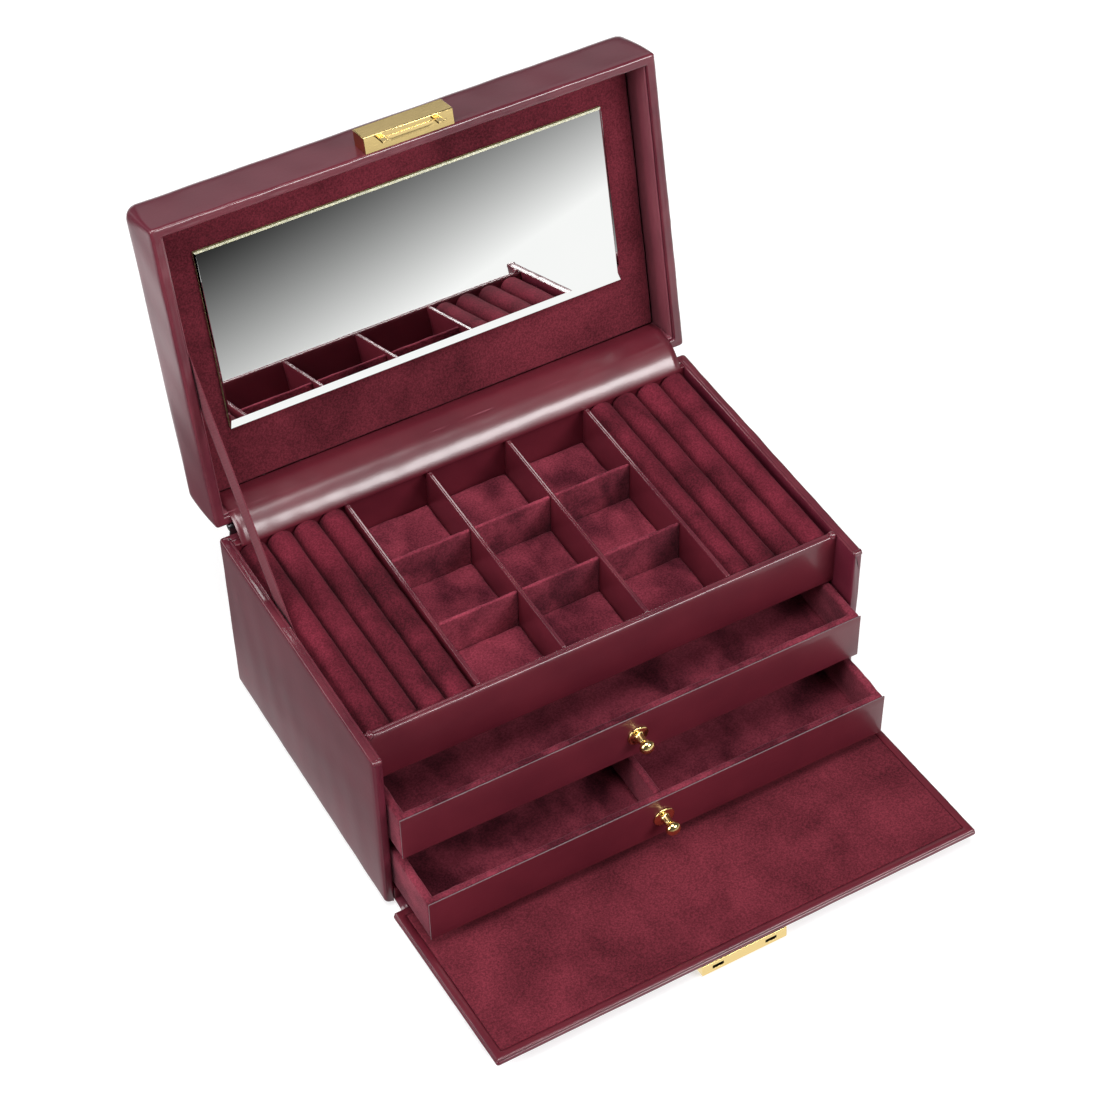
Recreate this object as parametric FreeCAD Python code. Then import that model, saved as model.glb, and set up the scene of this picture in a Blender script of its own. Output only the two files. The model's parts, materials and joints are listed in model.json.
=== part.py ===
import FreeCAD, Part
import math
import os

# Leather jewellery case: hinged lid with mirror, fixed top tray with ring rolls and cells,
# two drawers, and a front flap that folds down and is locked to the lid.
# Frame: X to the right, Y to the back, Z up. The origin is the middle of the plinth's
# underside, which stands on the table. Lengths are millimetres, angles degrees.

os.makedirs("parts", exist_ok=True)
VEC = FreeCAD.Vector
X_AXIS = VEC(1, 0, 0)
Y_AXIS = VEC(0, 1, 0)

# ---- driving dimensions: carcass
CASE_WIDTH = 280.0
CASE_DEPTH = 174.0
PLINTH_HEIGHT = 5.0
PLINTH_SIDE_INSET = 8.0
PLINTH_BACK_INSET = 6.0
PLINTH_FRONT_Y = -83.5
RIM_Z = 113.5
BOARD = 5.4
EDGE_ROUND = 4.0
RIM_ROUND = 1.4

# ---- driving dimensions: floors of the two drawer bays and of the tray
BASE_BOARD_THICK = 7.5
BAY_LINING = 1.2
SHELF_BOTTOM_Z = 43.5
SHELF_THICK = 4.5
TRAY_BOTTOM_Z = 80.0
TRAY_FLOOR_THICK = 3.5
TRAY_FRONT_Y = -71.2
TRAY_WALL = 4.0
TRAY_BACK_Y = 77.8

# ---- driving dimensions: compartments of the tray
DIVIDER_X = (-71.7, -23.7, 23.7, 71.7)
DIVIDER_THICK = 2.4
CROSS_Y = (-21.4, 29.0)
CROSS_THICK = 2.0
CROSS_DROP = 1.2
CELL_PAD_THICK = 5.0
PAD_GAP = 0.2
ROLL_COUNT = 4
ROLL_PITCH = 15.1
ROLL_WIDTH = 14.7
ROLL_TOP_DROP = 0.8
ROLL_BED_THICK = 1.5
ROLL_FRONT_GAP = 0.1
ROLL_BACK_GAP = 0.3
ROLL_SIDE_GAP = 0.15

# ---- driving dimensions: drawers
DRAWER_WIDTH = 267.2
DRAWER_DEPTH = 141.5
DRAWER_WALL = 3.6
DRAWER_BOTTOM = 2.6
DRAWER_PAD = 1.4
FACE_BOARD = 2.2
UPPER_DRAWER_Z = (49.9, 78.9)
LOWER_DRAWER_Z = (14.5, 42.2)
UPPER_FRONT_Y = -98.9
LOWER_FRONT_Y = -125.2
UPPER_KNOB_Z = 64.4
LOWER_KNOB_Z = 27.9
DRAWER_EDGE_ROUND = 1.0
DRAWER_DIVIDER_THICK = 4.0
DRAWER_DIVIDER_DROP = 1.5

# ---- driving dimensions: knobs and their screws
KNOB_LENGTH = 12.4
KNOB_FLANGE_R = 6.0
KNOB_FLANGE_THICK = 1.3
KNOB_FLANGE_EDGE = 0.91
KNOB_FLANGE_BEVEL = 1.6
KNOB_NECK_R = 2.0
KNOB_NECK_FLARE = 0.7
KNOB_FLARE_START = 0.8
KNOB_FLARE_END = 2.6
KNOB_NECK_SWELL = 0.1
KNOB_HEAD_R = 4.3
KNOB_HEAD_LENGTH = 5.0
KNOB_HEAD_LOWER = (0.6, 0.9)
KNOB_HEAD_BELT = (2.0, 2.8)
KNOB_HEAD_UPPER = (0.9, 4.2)
KNOB_HEAD_FLAT = 2.3
KNOB_BORE = 6.0
SCREW_R = 1.4
SCREW_PLAY = 0.05
SCREW_IN_KNOB = 5.5
SCREW_HEAD_R = 3.0
SCREW_HEAD_THICK = 1.4
SCREW_HEAD_POCKET = 2.0
SCREW_SLOT_WIDTH = 0.8
SCREW_SLOT_FLOOR = 0.8

# ---- driving dimensions: lid, laid out closed and then swung open
LID_OPEN = 101.64
LID_PIVOT = (89.2, 116.4)
LID_RIM_Z = 113.9
LID_HEIGHT = 38.0
LID_FRONT_Y = -88.3
LID_BACK_Y = 86.6
LID_SKIN = 1.4
LID_WALL = 4.0
LID_LINING = 0.8
LID_TOP_ROUND = 11.0
LID_CORNER_ROUND = 4.0
PANEL_DEPTH = 21.0
PANEL_THICK = 3.0
PANEL_GAP = 0.5
PANEL_ROUND = 1.2
LINING_GAP = 0.3
FILLER_INSET = 6.0
MIRROR_WIDTH = 231.0
MIRROR_HEIGHT = 103.0
MIRROR_FROM_PIVOT = 44.9
MIRROR_THICK = 2.4
MIRROR_BEVEL = 1.6
TOP_BOARD = 5.6

# ---- driving dimensions: lid hinge
BARREL_R = 2.2
PIN_R = 1.0
PIN_HOLE_R = 1.05
HINGE_HALF = 133.4
KNUCKLES = 19
KNUCKLE_GAP = 0.3
LEAF_THICK = 0.8
LEAF_REACH = 16.0
LEAF_FROM_BARREL = 0.3
WEB_OVERLAP = 0.5
LID_WEB_EXTRA = 0.4
COVER_THICK = 0.9
COVER_PAST_LEAF = 2.0
COVER_FROM_BARREL = 1.5

# ---- driving dimensions: front flap, laid out closed and then folded down
FLAP_OPEN = 85.38
FLAP_PIVOT = (-90.67, 0.64)
FLAP_WIDTH = 279.0
FLAP_INNER_Y = -87.3
FLAP_THICK = 4.2
FLAP_BOTTOM_Z = 3.85
FLAP_TOP_Z = 113.4
FLAP_BORDER = 5.0
FLAP_POCKET = 1.2
FLAP_ROUND = 1.5

# ---- driving dimensions: ribbon that stops the lid
RIBBON_LOW_Y = 14.4
RIBBON_HIGH_U = 101.0
RIBBON_WIDTH = 16.0
RIBBON_THICK = 0.4
RIBBON_GLUED = 18.0
RIBBON_PLAY = 0.02

# ---- driving dimensions: lock
LOCK_WIDTH = 49.3
LOCK_PROUD = 7.6
LOCK_SHEET = 0.9
LID_LOCK_HEIGHT = 12.6
LID_LOCK_PROUD = 8.9
LID_LOCK_GAP = 0.5
LID_LOCK_ROUND = 0.5
LID_PLATE_THICK = 0.8
LID_PLATE_PLAY = 0.05
LID_PLATE_INSET = 1.0
FLAP_LOCK_HEIGHT = 14.0
FLAP_LOCK_DROP = 0.2
FLAP_LOCK_ROUND = 1.2
HOOK_X = 15.4
HOOK_Y = -95.0
HOOK_THICK = 1.2
HOOK_SHANK = 3.4
HOOK_NOSE = 1.6
HOOK_REACH = 6.4
HOOK_OFFSET = 0.4
HOOK_NOSE_THICK = 1.0
HOOK_NOSE_ROOT = 0.5
SLOT_LENGTH = 6.4
SLOT_WIDTH = 2.2
BUTTON_R = 3.4
BUTTON_HOLE_R = 3.6
BUTTON_HEIGHT = 5.0
BUTTON_LENGTH = 3.6
BUTTON_SUNK = 0.15
BOLT_X = (-21.0, 18.5)
BOLT_DROP = (4.0, 2.6)
BOLT_FRONT_GAP = 1.2
BOLT_BACK_GAP = 1.0
BOLT_WINDOW = (3.4, 2.3)
BOLT_WINDOW_HALF = 1.2
BOLT_TAIL_HALF = 3.2
BOLT_TAIL_START = 5.4
BOLT_TAIL_DROP = 2.0
BOLT_TAIL_OVERLAP = 0.1
SPRING_HALF = 0.4
SPRING_TIP_X = 19.0
SPRING_TIP_LIFT = (0.4, 1.2)
SPRING_PLAY = 0.1
SPRING_FRONT = 2.4
SPRING_LIFT = 0.2
SPRING_WIDTH = 3.0

# ---- driving dimensions: leather across the joints, as (y, z) points
GUSSET_THICK = 0.9
GUSSET_SIDE_GAP = 3.0
GUSSET_CLEAR = 0.2
GUSSET_RISE = ((84.0, 114.2), (86.2, 116.5), (87.2, 120.0))
GUSSET_LID_LIP = 0.4
GUSSET_LID_TURN = 2.0
GUSSET_PANEL_GAP = 1.0
STRIP_LOWER = ((-84.0, 3.7), (-88.4, 3.7), (-93.2, 3.0))
STRIP_UPPER = ((-93.2, 4.1), (-88.4, 4.8), (-84.0, 4.8))

# A cutting body runs this far past the face that it cuts through.
PAST = 1.0
# Edges within this distance of a face count as lying on it.
TOUCHING = 0.01

HALF_W = CASE_WIDTH / 2
HALF_D = CASE_DEPTH / 2
INNER_X = HALF_W - BOARD
BACK_INNER_Y = HALF_D - BOARD
BODY_BOTTOM_Z = PLINTH_HEIGHT


def box(x, y, z):
    """A box from three (low, high) pairs."""
    return Part.makeBox(x[1] - x[0], y[1] - y[0], z[1] - z[0], VEC(x[0], y[0], z[0]))


def wide(half, y, z):
    """A box centred on the middle plane of the case."""
    return box((-half, half), y, z)


def pin(radius, length, start, direction):
    return Part.makeCylinder(radius, length, VEC(*start), direction)


def prism(points, x):
    """A solid with a (y, z) outline, from x[0] to x[1]."""
    corners = [VEC(x[0], y, z) for y, z in points]
    face = Part.Face(Part.makePolygon(corners + corners[:1]))
    return face.extrude(VEC(x[1] - x[0], 0, 0))


def rounded(shape, radius, picks):
    """Fillet the straight edges whose middle point satisfies picks(x, y, z)."""
    edges = []
    for edge in shape.Edges:
        middle = edge.CenterOfMass
        if picks(middle.x, middle.y, middle.z):
            edges.append(edge)
    return shape.makeFillet(radius, edges)


def near(value, target):
    return abs(value - target) < TOUCHING


def swing(shape, pivot, degrees):
    """Turn a shape about the X line through pivot = (y, z)."""
    turned = shape.copy()
    turned.rotate(VEC(0, pivot[0], pivot[1]), X_AXIS, degrees)
    return turned


def group(shapes):
    return Part.makeCompound(shapes)


def save(node, shape):
    shape.exportStep("parts/" + node + ".step")
    return node


# ---- carcass

def side_panel(side):
    """Leather-covered board at the left (-1) or right (+1)."""
    x = sorted((side * INNER_X, side * HALF_W))
    panel = box(x, (-HALF_D, HALF_D), (BODY_BOTTOM_Z, RIM_Z))
    outer = side * HALF_W

    def lower_or_back(px, py, pz):
        bottom = near(pz, BODY_BOTTOM_Z) and (near(px, outer) or near(py, HALF_D))
        return bottom or (near(py, HALF_D) and near(px, outer))

    panel = rounded(panel, EDGE_ROUND, lower_or_back)
    return rounded(panel, RIM_ROUND, lambda px, py, pz: near(py, -HALF_D) and near(px, outer))


def back_panel():
    panel = wide(INNER_X, (BACK_INNER_Y, HALF_D), (BODY_BOTTOM_Z, RIM_Z))
    return rounded(panel, EDGE_ROUND, lambda x, y, z: near(y, HALF_D) and near(z, BODY_BOTTOM_Z))


def carcass():
    base_top = BODY_BOTTOM_Z + BASE_BOARD_THICK
    shelf_top = SHELF_BOTTOM_Z + SHELF_THICK
    bay_y = (TRAY_FRONT_Y, BACK_INNER_Y)
    save("side_panel_left", side_panel(-1))
    save("side_panel_right", side_panel(1))
    save("back_panel", back_panel())
    save("plinth", wide(HALF_W - PLINTH_SIDE_INSET, (PLINTH_FRONT_Y, HALF_D - PLINTH_BACK_INSET),
                        (0, PLINTH_HEIGHT)))
    save("base_board", wide(INNER_X, (-HALF_D, BACK_INNER_Y), (BODY_BOTTOM_Z, base_top)))
    save("drawer_shelf", wide(INNER_X, bay_y, (SHELF_BOTTOM_Z, shelf_top)))
    save("bay_linings", group([wide(INNER_X, bay_y, (z, z + BAY_LINING))
                               for z in (base_top, shelf_top)]))


# ---- top tray

TRAY_TOP_OF_FLOOR = TRAY_BOTTOM_Z + TRAY_FLOOR_THICK
TRAY_INNER_FRONT = TRAY_FRONT_Y + TRAY_WALL


def ring_roll(centre_x):
    """A round-topped roll from the front to the back of the tray."""
    radius = ROLL_WIDTH / 2
    bottom = TRAY_TOP_OF_FLOOR + ROLL_BED_THICK
    axis_z = RIM_Z - ROLL_TOP_DROP - radius
    y = (TRAY_INNER_FRONT + ROLL_FRONT_GAP, TRAY_BACK_Y - ROLL_BACK_GAP)
    block = box((centre_x - radius, centre_x + radius), y, (bottom, axis_z))
    crown = pin(radius, y[1] - y[0], (centre_x, y[0], axis_z), Y_AXIS)
    return block.fuse(crown).removeSplitter()


def tray():
    span_y = (TRAY_INNER_FRONT, TRAY_BACK_Y)
    half_divider = DIVIDER_THICK / 2
    save("tray_floor", wide(INNER_X, (TRAY_INNER_FRONT, BACK_INNER_Y),
                            (TRAY_BOTTOM_Z, TRAY_TOP_OF_FLOOR)))
    front = wide(INNER_X, (TRAY_FRONT_Y, TRAY_INNER_FRONT), (TRAY_BOTTOM_Z, RIM_Z))
    save("tray_front_wall", rounded(front, RIM_ROUND, lambda x, y, z: near(z, RIM_Z)
                                    and near(y, TRAY_FRONT_Y)))
    save("tray_back_wall", wide(INNER_X, (TRAY_BACK_Y, BACK_INNER_Y), (TRAY_TOP_OF_FLOOR, RIM_Z)))
    for number, x in enumerate(DIVIDER_X, start=1):
        save("tray_divider_%d" % number,
             box((x - half_divider, x + half_divider), span_y, (TRAY_TOP_OF_FLOOR, RIM_Z)))

    half_cross = CROSS_THICK / 2
    columns = list(zip(DIVIDER_X[:-1], DIVIDER_X[1:]))
    pad_top = TRAY_TOP_OF_FLOOR + CELL_PAD_THICK
    pads = []
    crosses = []
    for left, right in columns:
        cell_x = (left + half_divider, right - half_divider)
        edges = [TRAY_INNER_FRONT]
        for y in CROSS_Y:
            crosses.append(box(cell_x, (y - half_cross, y + half_cross),
                               (TRAY_TOP_OF_FLOOR, RIM_Z - CROSS_DROP)))
            edges += [y - half_cross, y + half_cross]
        edges.append(TRAY_BACK_Y)
        for low, high in zip(edges[0::2], edges[1::2]):
            pads.append(box((cell_x[0] + PAD_GAP, cell_x[1] - PAD_GAP),
                            (low + PAD_GAP, high - PAD_GAP), (TRAY_TOP_OF_FLOOR, pad_top)))
    save("cross_dividers", group(crosses))
    save("cell_pads", group(pads))

    first_roll = DIVIDER_X[-1] + half_divider + ROLL_SIDE_GAP + ROLL_PITCH / 2
    beds = []
    for side, word in ((-1, "left"), (1, "right")):
        for index in range(ROLL_COUNT):
            centre = side * (first_roll + index * ROLL_PITCH)
            save("ring_roll_%s_%d" % (word, index + 1), ring_roll(centre))
        bed_x = sorted((side * (DIVIDER_X[-1] + half_divider), side * INNER_X))
        beds.append(box(bed_x, span_y, (TRAY_TOP_OF_FLOOR, TRAY_TOP_OF_FLOOR + ROLL_BED_THICK)))
    save("ring_beds", group(beds))


# ---- drawers, at the places where they stand partly pulled out

def knob(front_y, z):
    """Turned brass knob: flange, neck and domed head, as one revolved profile."""
    flare_r = KNOB_NECK_R + KNOB_NECK_FLARE
    head = KNOB_LENGTH - KNOB_HEAD_LENGTH
    profile = [(SCREW_R, 0), (KNOB_FLANGE_R, 0), (KNOB_FLANGE_R, KNOB_FLANGE_EDGE),
               (KNOB_FLANGE_R - KNOB_FLANGE_BEVEL, KNOB_FLANGE_THICK),
               (flare_r, KNOB_FLANGE_THICK + KNOB_FLARE_START),
               (KNOB_NECK_R, KNOB_FLANGE_THICK + KNOB_FLARE_END),
               (KNOB_NECK_R + KNOB_NECK_SWELL, head),
               (KNOB_HEAD_R - KNOB_HEAD_LOWER[0], head + KNOB_HEAD_LOWER[1]),
               (KNOB_HEAD_R, head + KNOB_HEAD_BELT[0]), (KNOB_HEAD_R, head + KNOB_HEAD_BELT[1]),
               (KNOB_HEAD_R - KNOB_HEAD_UPPER[0], head + KNOB_HEAD_UPPER[1]),
               (KNOB_HEAD_R - KNOB_HEAD_FLAT, KNOB_LENGTH), (0, KNOB_LENGTH),
               (0, KNOB_BORE), (SCREW_R, KNOB_BORE)]
    corners = [VEC(radius, -along, 0) for radius, along in profile]
    face = Part.Face(Part.makePolygon(corners + corners[:1]))
    turned = face.revolve(VEC(0, 0, 0), Y_AXIS, 360)
    turned.translate(VEC(0, front_y, z))
    return turned


def knob_screw(front_y, z):
    inside = front_y + FACE_BOARD + DRAWER_WALL
    start = front_y - SCREW_IN_KNOB
    shank = pin(SCREW_R - SCREW_PLAY, inside - start, (0, start, z), Y_AXIS)
    head = pin(SCREW_HEAD_R, SCREW_HEAD_THICK, (0, inside, z), Y_AXIS)
    slot = box((-SCREW_SLOT_WIDTH / 2, SCREW_SLOT_WIDTH / 2),
               (inside + SCREW_SLOT_FLOOR, inside + SCREW_HEAD_THICK + PAST),
               (z - SCREW_HEAD_R - PAST, z + SCREW_HEAD_R + PAST))
    return shank.fuse(head).removeSplitter().cut(slot)


def drawer(word, front_y, z, knob_z, with_divider):
    half = DRAWER_WIDTH / 2
    box_front = front_y + FACE_BOARD
    back = front_y + DRAWER_DEPTH
    through = FACE_BOARD + DRAWER_WALL + 2 * PAST
    hole = pin(SCREW_R, through, (0, front_y - PAST, knob_z), Y_AXIS)
    face = wide(half, (front_y, box_front), z)
    save(word + "_drawer_face", face.cut(hole))
    shell = wide(half, (box_front, back), z)
    inner_y = (box_front + DRAWER_WALL, back - DRAWER_WALL)
    inner_half = half - DRAWER_WALL
    floor_z = z[0] + DRAWER_BOTTOM
    hollow = wide(inner_half, inner_y, (floor_z, z[1] + PAST))
    shell = shell.cut(hollow).cut(hole)
    shell = rounded(shell, DRAWER_EDGE_ROUND, lambda x, y, pz: near(pz, z[1])
                    and not near(y, box_front))
    save(word + "_drawer_box", shell)
    pad_z = (floor_z, floor_z + DRAWER_PAD)
    if with_divider:
        half_divider = DRAWER_DIVIDER_THICK / 2
        wall = box((-half_divider, half_divider), inner_y, (floor_z, z[1] - DRAWER_DIVIDER_DROP))
        wall = wall.cut(pin(SCREW_HEAD_R + PAD_GAP, SCREW_HEAD_POCKET,
                            (0, inner_y[0], knob_z), Y_AXIS))
        save(word + "_drawer_divider", wall)
        spans = ((-inner_half + PAD_GAP, -half_divider - PAD_GAP),
                 (half_divider + PAD_GAP, inner_half - PAD_GAP))
    else:
        spans = ((-inner_half + PAD_GAP, inner_half - PAD_GAP),)
    pad_y = (inner_y[0] + PAD_GAP, inner_y[1] - PAD_GAP)
    save(word + "_drawer_pad", group([box(x, pad_y, pad_z) for x in spans]))
    save(word + "_knob", knob(front_y, knob_z))
    save(word + "_knob_screw", knob_screw(front_y, knob_z))


# ---- lid

LID_TOP_Z = LID_RIM_Z + LID_HEIGHT


def lid_block(inset, bottom_z):
    """The lid's outer form, shrunk by inset on every side but the rim."""
    half = HALF_W - inset
    front = LID_FRONT_Y + inset
    back = LID_BACK_Y - inset
    top = LID_TOP_Z - inset
    block = wide(half, (front, back), (bottom_z, top))
    corner = LID_CORNER_ROUND - inset

    def upright(x, y, z):
        return near(abs(x), half) and (near(y, front) or near(y, back))

    block = rounded(block, corner, upright)
    return rounded(block, LID_TOP_ROUND - inset, lambda x, y, z: near(z, top))


def open_lid(node, shape):
    save(node, swing(shape, LID_PIVOT, -LID_OPEN))


def lid():
    wall = LID_SKIN + LID_WALL
    inner_half = HALF_W - wall
    inner_y = (LID_FRONT_Y + wall, LID_BACK_Y - wall)
    rim_wrap_z = LID_RIM_Z + LID_SKIN
    board_z = LID_TOP_Z - LID_SKIN - TOP_BOARD
    core = lid_block(LID_SKIN, rim_wrap_z)
    inside = wide(inner_half, inner_y, (LID_RIM_Z - PAST, LID_TOP_Z))
    open_lid("lid_frame", core.cut(inside))
    open_lid("lid_top_board", core.common(wide(inner_half, inner_y, (board_z, LID_TOP_Z))))
    hollow = wide(inner_half, inner_y, (LID_RIM_Z - PAST, board_z + PAST))
    open_lid("lid_cover", lid_block(0, LID_RIM_Z).cut(core).cut(hollow))

    panel_z = LID_RIM_Z + PANEL_DEPTH
    lining = wide(inner_half, inner_y, (LID_RIM_Z + LINING_GAP, board_z))
    lining_hole = wide(inner_half - LID_LINING,
                       (inner_y[0] + LID_LINING, inner_y[1] - LID_LINING),
                       (LID_RIM_Z, board_z + PAST))
    open_lid("lid_wall_lining", lining.cut(lining_hole))
    reach = LID_LINING + PANEL_GAP
    panel_half = inner_half - reach
    panel_y = (inner_y[0] + reach, inner_y[1] - reach)
    panel = wide(panel_half, panel_y, (panel_z, panel_z + PANEL_THICK))
    open_lid("lid_panel", rounded(panel, PANEL_ROUND, lambda x, y, z: near(z, panel_z)))
    filler_y = (panel_y[0] + FILLER_INSET, panel_y[1] - FILLER_INSET)
    open_lid("lid_filler", wide(panel_half - FILLER_INSET, filler_y,
                                (panel_z + PANEL_THICK, board_z)))

    mirror_back_y = LID_PIVOT[0] - MIRROR_FROM_PIVOT
    mirror = wide(MIRROR_WIDTH / 2, (mirror_back_y - MIRROR_HEIGHT, mirror_back_y),
                  (panel_z - MIRROR_THICK, panel_z))
    edges = [edge for edge in mirror.Edges if near(edge.CenterOfMass.z, panel_z - MIRROR_THICK)]
    open_lid("mirror", mirror.makeChamfer(MIRROR_BEVEL, edges))


# ---- piano hinge of the lid

def knuckle_spans(for_lid):
    pitch = 2 * HINGE_HALF / KNUCKLES
    for index in range(KNUCKLES):
        if (index % 2 == 1) == for_lid:
            start = -HINGE_HALF + index * pitch
            yield (start + KNUCKLE_GAP / 2, start + pitch - KNUCKLE_GAP / 2)


def hinge_leaf(plate, web_y, web_z, for_lid):
    leaf = plate
    y, z = LID_PIVOT
    for x in knuckle_spans(for_lid):
        barrel = pin(BARREL_R, x[1] - x[0], (x[0], y, z), X_AXIS)
        leaf = leaf.fuse(barrel.fuse(box(x, web_y, web_z)))
    bore = pin(PIN_HOLE_R, 2 * (HINGE_HALF + PAST), (-HINGE_HALF - PAST, y, z), X_AXIS)
    return leaf.removeSplitter().cut(bore)


def lid_hinge():
    y, z = LID_PIVOT
    case_z = (z - BARREL_R - LEAF_REACH, z - BARREL_R - LEAF_FROM_BARREL)
    case_leaf = wide(HINGE_HALF, (HALF_D, HALF_D + LEAF_THICK), case_z)
    web_z = (case_z[1] - WEB_OVERLAP, z)
    case_leaf = hinge_leaf(case_leaf, (HALF_D, HALF_D + LEAF_THICK), web_z, False)
    save("hinge_leaf_case", case_leaf)

    lid_z = (z + BARREL_R + LEAF_FROM_BARREL, z + BARREL_R + LEAF_REACH)
    lid_leaf = wide(HINGE_HALF, (LID_BACK_Y, LID_BACK_Y + LEAF_THICK), lid_z)
    lid_leaf = hinge_leaf(lid_leaf, (LID_BACK_Y, LID_BACK_Y + LEAF_THICK + LID_WEB_EXTRA),
                          (z, lid_z[0] + WEB_OVERLAP), True)
    open_lid("hinge_leaf_lid", lid_leaf)
    save("hinge_pin", pin(PIN_R, 2 * HINGE_HALF, (-HINGE_HALF, y, z), X_AXIS))

    case_y = HALF_D + LEAF_THICK
    save("hinge_cover_case", wide(HINGE_HALF, (case_y, case_y + COVER_THICK),
                                  (case_z[0] - COVER_PAST_LEAF, case_z[1] - COVER_FROM_BARREL)))
    lid_y = LID_BACK_Y + LEAF_THICK
    open_lid("hinge_cover_lid", wide(HINGE_HALF, (lid_y, lid_y + COVER_THICK),
                                     (lid_z[0] + COVER_FROM_BARREL, lid_z[1] + COVER_PAST_LEAF)))


# ---- front flap and its lock

def fold_flap(node, shape):
    save(node, swing(shape, FLAP_PIVOT, FLAP_OPEN))


FLAP_OUTER_Y = FLAP_INNER_Y - FLAP_THICK
FLAP_LOCK_TOP = FLAP_TOP_Z - FLAP_LOCK_DROP


def flap():
    half = FLAP_WIDTH / 2
    slab = wide(half, (FLAP_OUTER_Y, FLAP_INNER_Y), (FLAP_BOTTOM_Z, FLAP_TOP_Z))
    slab = rounded(slab, FLAP_ROUND, lambda x, y, z: near(y, FLAP_OUTER_Y))
    field_z = (FLAP_BOTTOM_Z + FLAP_BORDER, FLAP_TOP_Z - FLAP_BORDER)
    pocket = wide(half - FLAP_BORDER, (FLAP_INNER_Y - FLAP_POCKET, FLAP_INNER_Y + PAST), field_z)
    fold_flap("flap_panel", slab.cut(pocket))
    fold_flap("flap_lining", wide(half - FLAP_BORDER, (FLAP_INNER_Y - FLAP_POCKET, FLAP_INNER_Y),
                                  field_z))


def flap_lock():
    half = LOCK_WIDTH / 2
    outer = FLAP_OUTER_Y - LOCK_PROUD
    z = (FLAP_LOCK_TOP - FLAP_LOCK_HEIGHT, FLAP_LOCK_TOP)
    shell = wide(half, (outer, FLAP_OUTER_Y), z)
    shell = rounded(shell, FLAP_LOCK_ROUND, lambda px, py, pz: near(py, outer))
    inside = wide(half - LOCK_SHEET, (outer + LOCK_SHEET, FLAP_OUTER_Y + PAST),
                  (z[0] + LOCK_SHEET, z[1] - LOCK_SHEET))
    shell = shell.cut(inside)
    for x in (-HOOK_X, HOOK_X):
        shell = shell.cut(box((x - SLOT_LENGTH / 2, x + SLOT_LENGTH / 2),
                              (HOOK_Y - SLOT_WIDTH / 2, HOOK_Y + SLOT_WIDTH / 2),
                              (z[1] - LOCK_SHEET - PAST, z[1] + PAST)))
    button_z = z[0] + BUTTON_HEIGHT
    shell = shell.cut(pin(BUTTON_HOLE_R, LOCK_SHEET + 2 * PAST, (0, outer - PAST, button_z),
                          Y_AXIS))
    fold_flap("flap_lock_case", shell)
    fold_flap("lock_button", pin(BUTTON_R, BUTTON_LENGTH, (0, outer + BUTTON_SUNK, button_z),
                                 Y_AXIS))
    lock_bolt(outer, (z[1] - BOLT_DROP[0], z[1] - BOLT_DROP[1]), button_z)
    bolt_spring(half - LOCK_SHEET - SPRING_PLAY, outer, z[1] - BOLT_DROP[0] + SPRING_LIFT)


def lock_bolt(outer, z, button_z):
    """A flat bar with a window for each hook, and a tail that the button pushes."""
    back = FLAP_OUTER_Y - BOLT_BACK_GAP
    bolt = box(BOLT_X, (outer + BOLT_FRONT_GAP, back), z)
    for x in (-HOOK_X, HOOK_X):
        bolt = bolt.cut(box((x - BOLT_WINDOW[0], x + BOLT_WINDOW[1]),
                            (HOOK_Y - BOLT_WINDOW_HALF, HOOK_Y + BOLT_WINDOW_HALF),
                            (z[0] - PAST, z[1] + PAST)))
    tail = box((-BOLT_TAIL_HALF, BOLT_TAIL_HALF), (outer + BOLT_TAIL_START, back),
               (button_z - BOLT_TAIL_DROP, z[0] + BOLT_TAIL_OVERLAP))
    fold_flap("lock_bolt", bolt.fuse(tail).removeSplitter())


def bolt_spring(wall_x, outer, root_z):
    """A leaf from the lock's end wall to the end of the bolt."""
    y = outer + SPRING_FRONT
    outline = ((wall_x, -SPRING_HALF), (wall_x, SPRING_HALF),
               (SPRING_TIP_X, SPRING_TIP_LIFT[1]), (SPRING_TIP_X, SPRING_TIP_LIFT[0]))
    corners = [VEC(x, y, root_z + lift) for x, lift in outline]
    face = Part.Face(Part.makePolygon(corners + corners[:1]))
    fold_flap("bolt_spring", face.extrude(VEC(0, SPRING_WIDTH, 0)))


def lid_lock():
    half = LOCK_WIDTH / 2
    outer = LID_FRONT_Y - LID_LOCK_PROUD
    low_z = LID_RIM_Z + LID_LOCK_GAP
    z = (low_z, low_z + LID_LOCK_HEIGHT)
    shell = wide(half, (outer, LID_FRONT_Y), z)
    shell = rounded(shell, LID_LOCK_ROUND, lambda px, py, pz: near(py, outer))
    inside = wide(half - LOCK_SHEET, (outer + LOCK_SHEET, LID_FRONT_Y + PAST),
                  (z[0] + LOCK_SHEET, z[1] - LOCK_SHEET))
    open_lid("lid_lock_case", shell.cut(inside))
    plate = wide(half - LOCK_SHEET - LID_PLATE_PLAY,
                 (LID_FRONT_Y - LID_PLATE_THICK, LID_FRONT_Y),
                 (z[0] + LID_PLATE_INSET, z[1] - LID_PLATE_INSET))
    open_lid("lid_lock_plate", plate)
    hooks = []
    y = (HOOK_Y - HOOK_THICK / 2, HOOK_Y + HOOK_THICK / 2)
    tip_z = low_z - HOOK_REACH
    for x in (-HOOK_X, HOOK_X):
        centre = x - HOOK_OFFSET
        end_x = centre + HOOK_SHANK / 2
        shank = box((centre - HOOK_SHANK / 2, end_x), y, (tip_z, low_z))
        nose = box((end_x - HOOK_NOSE_ROOT, end_x + HOOK_NOSE), y, (tip_z, tip_z + HOOK_NOSE_THICK))
        hooks.append(shank.fuse(nose).removeSplitter())
    open_lid("lid_lock_hooks", group(hooks))


# ---- leather and ribbon that bend when the lid or the flap moves

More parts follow.
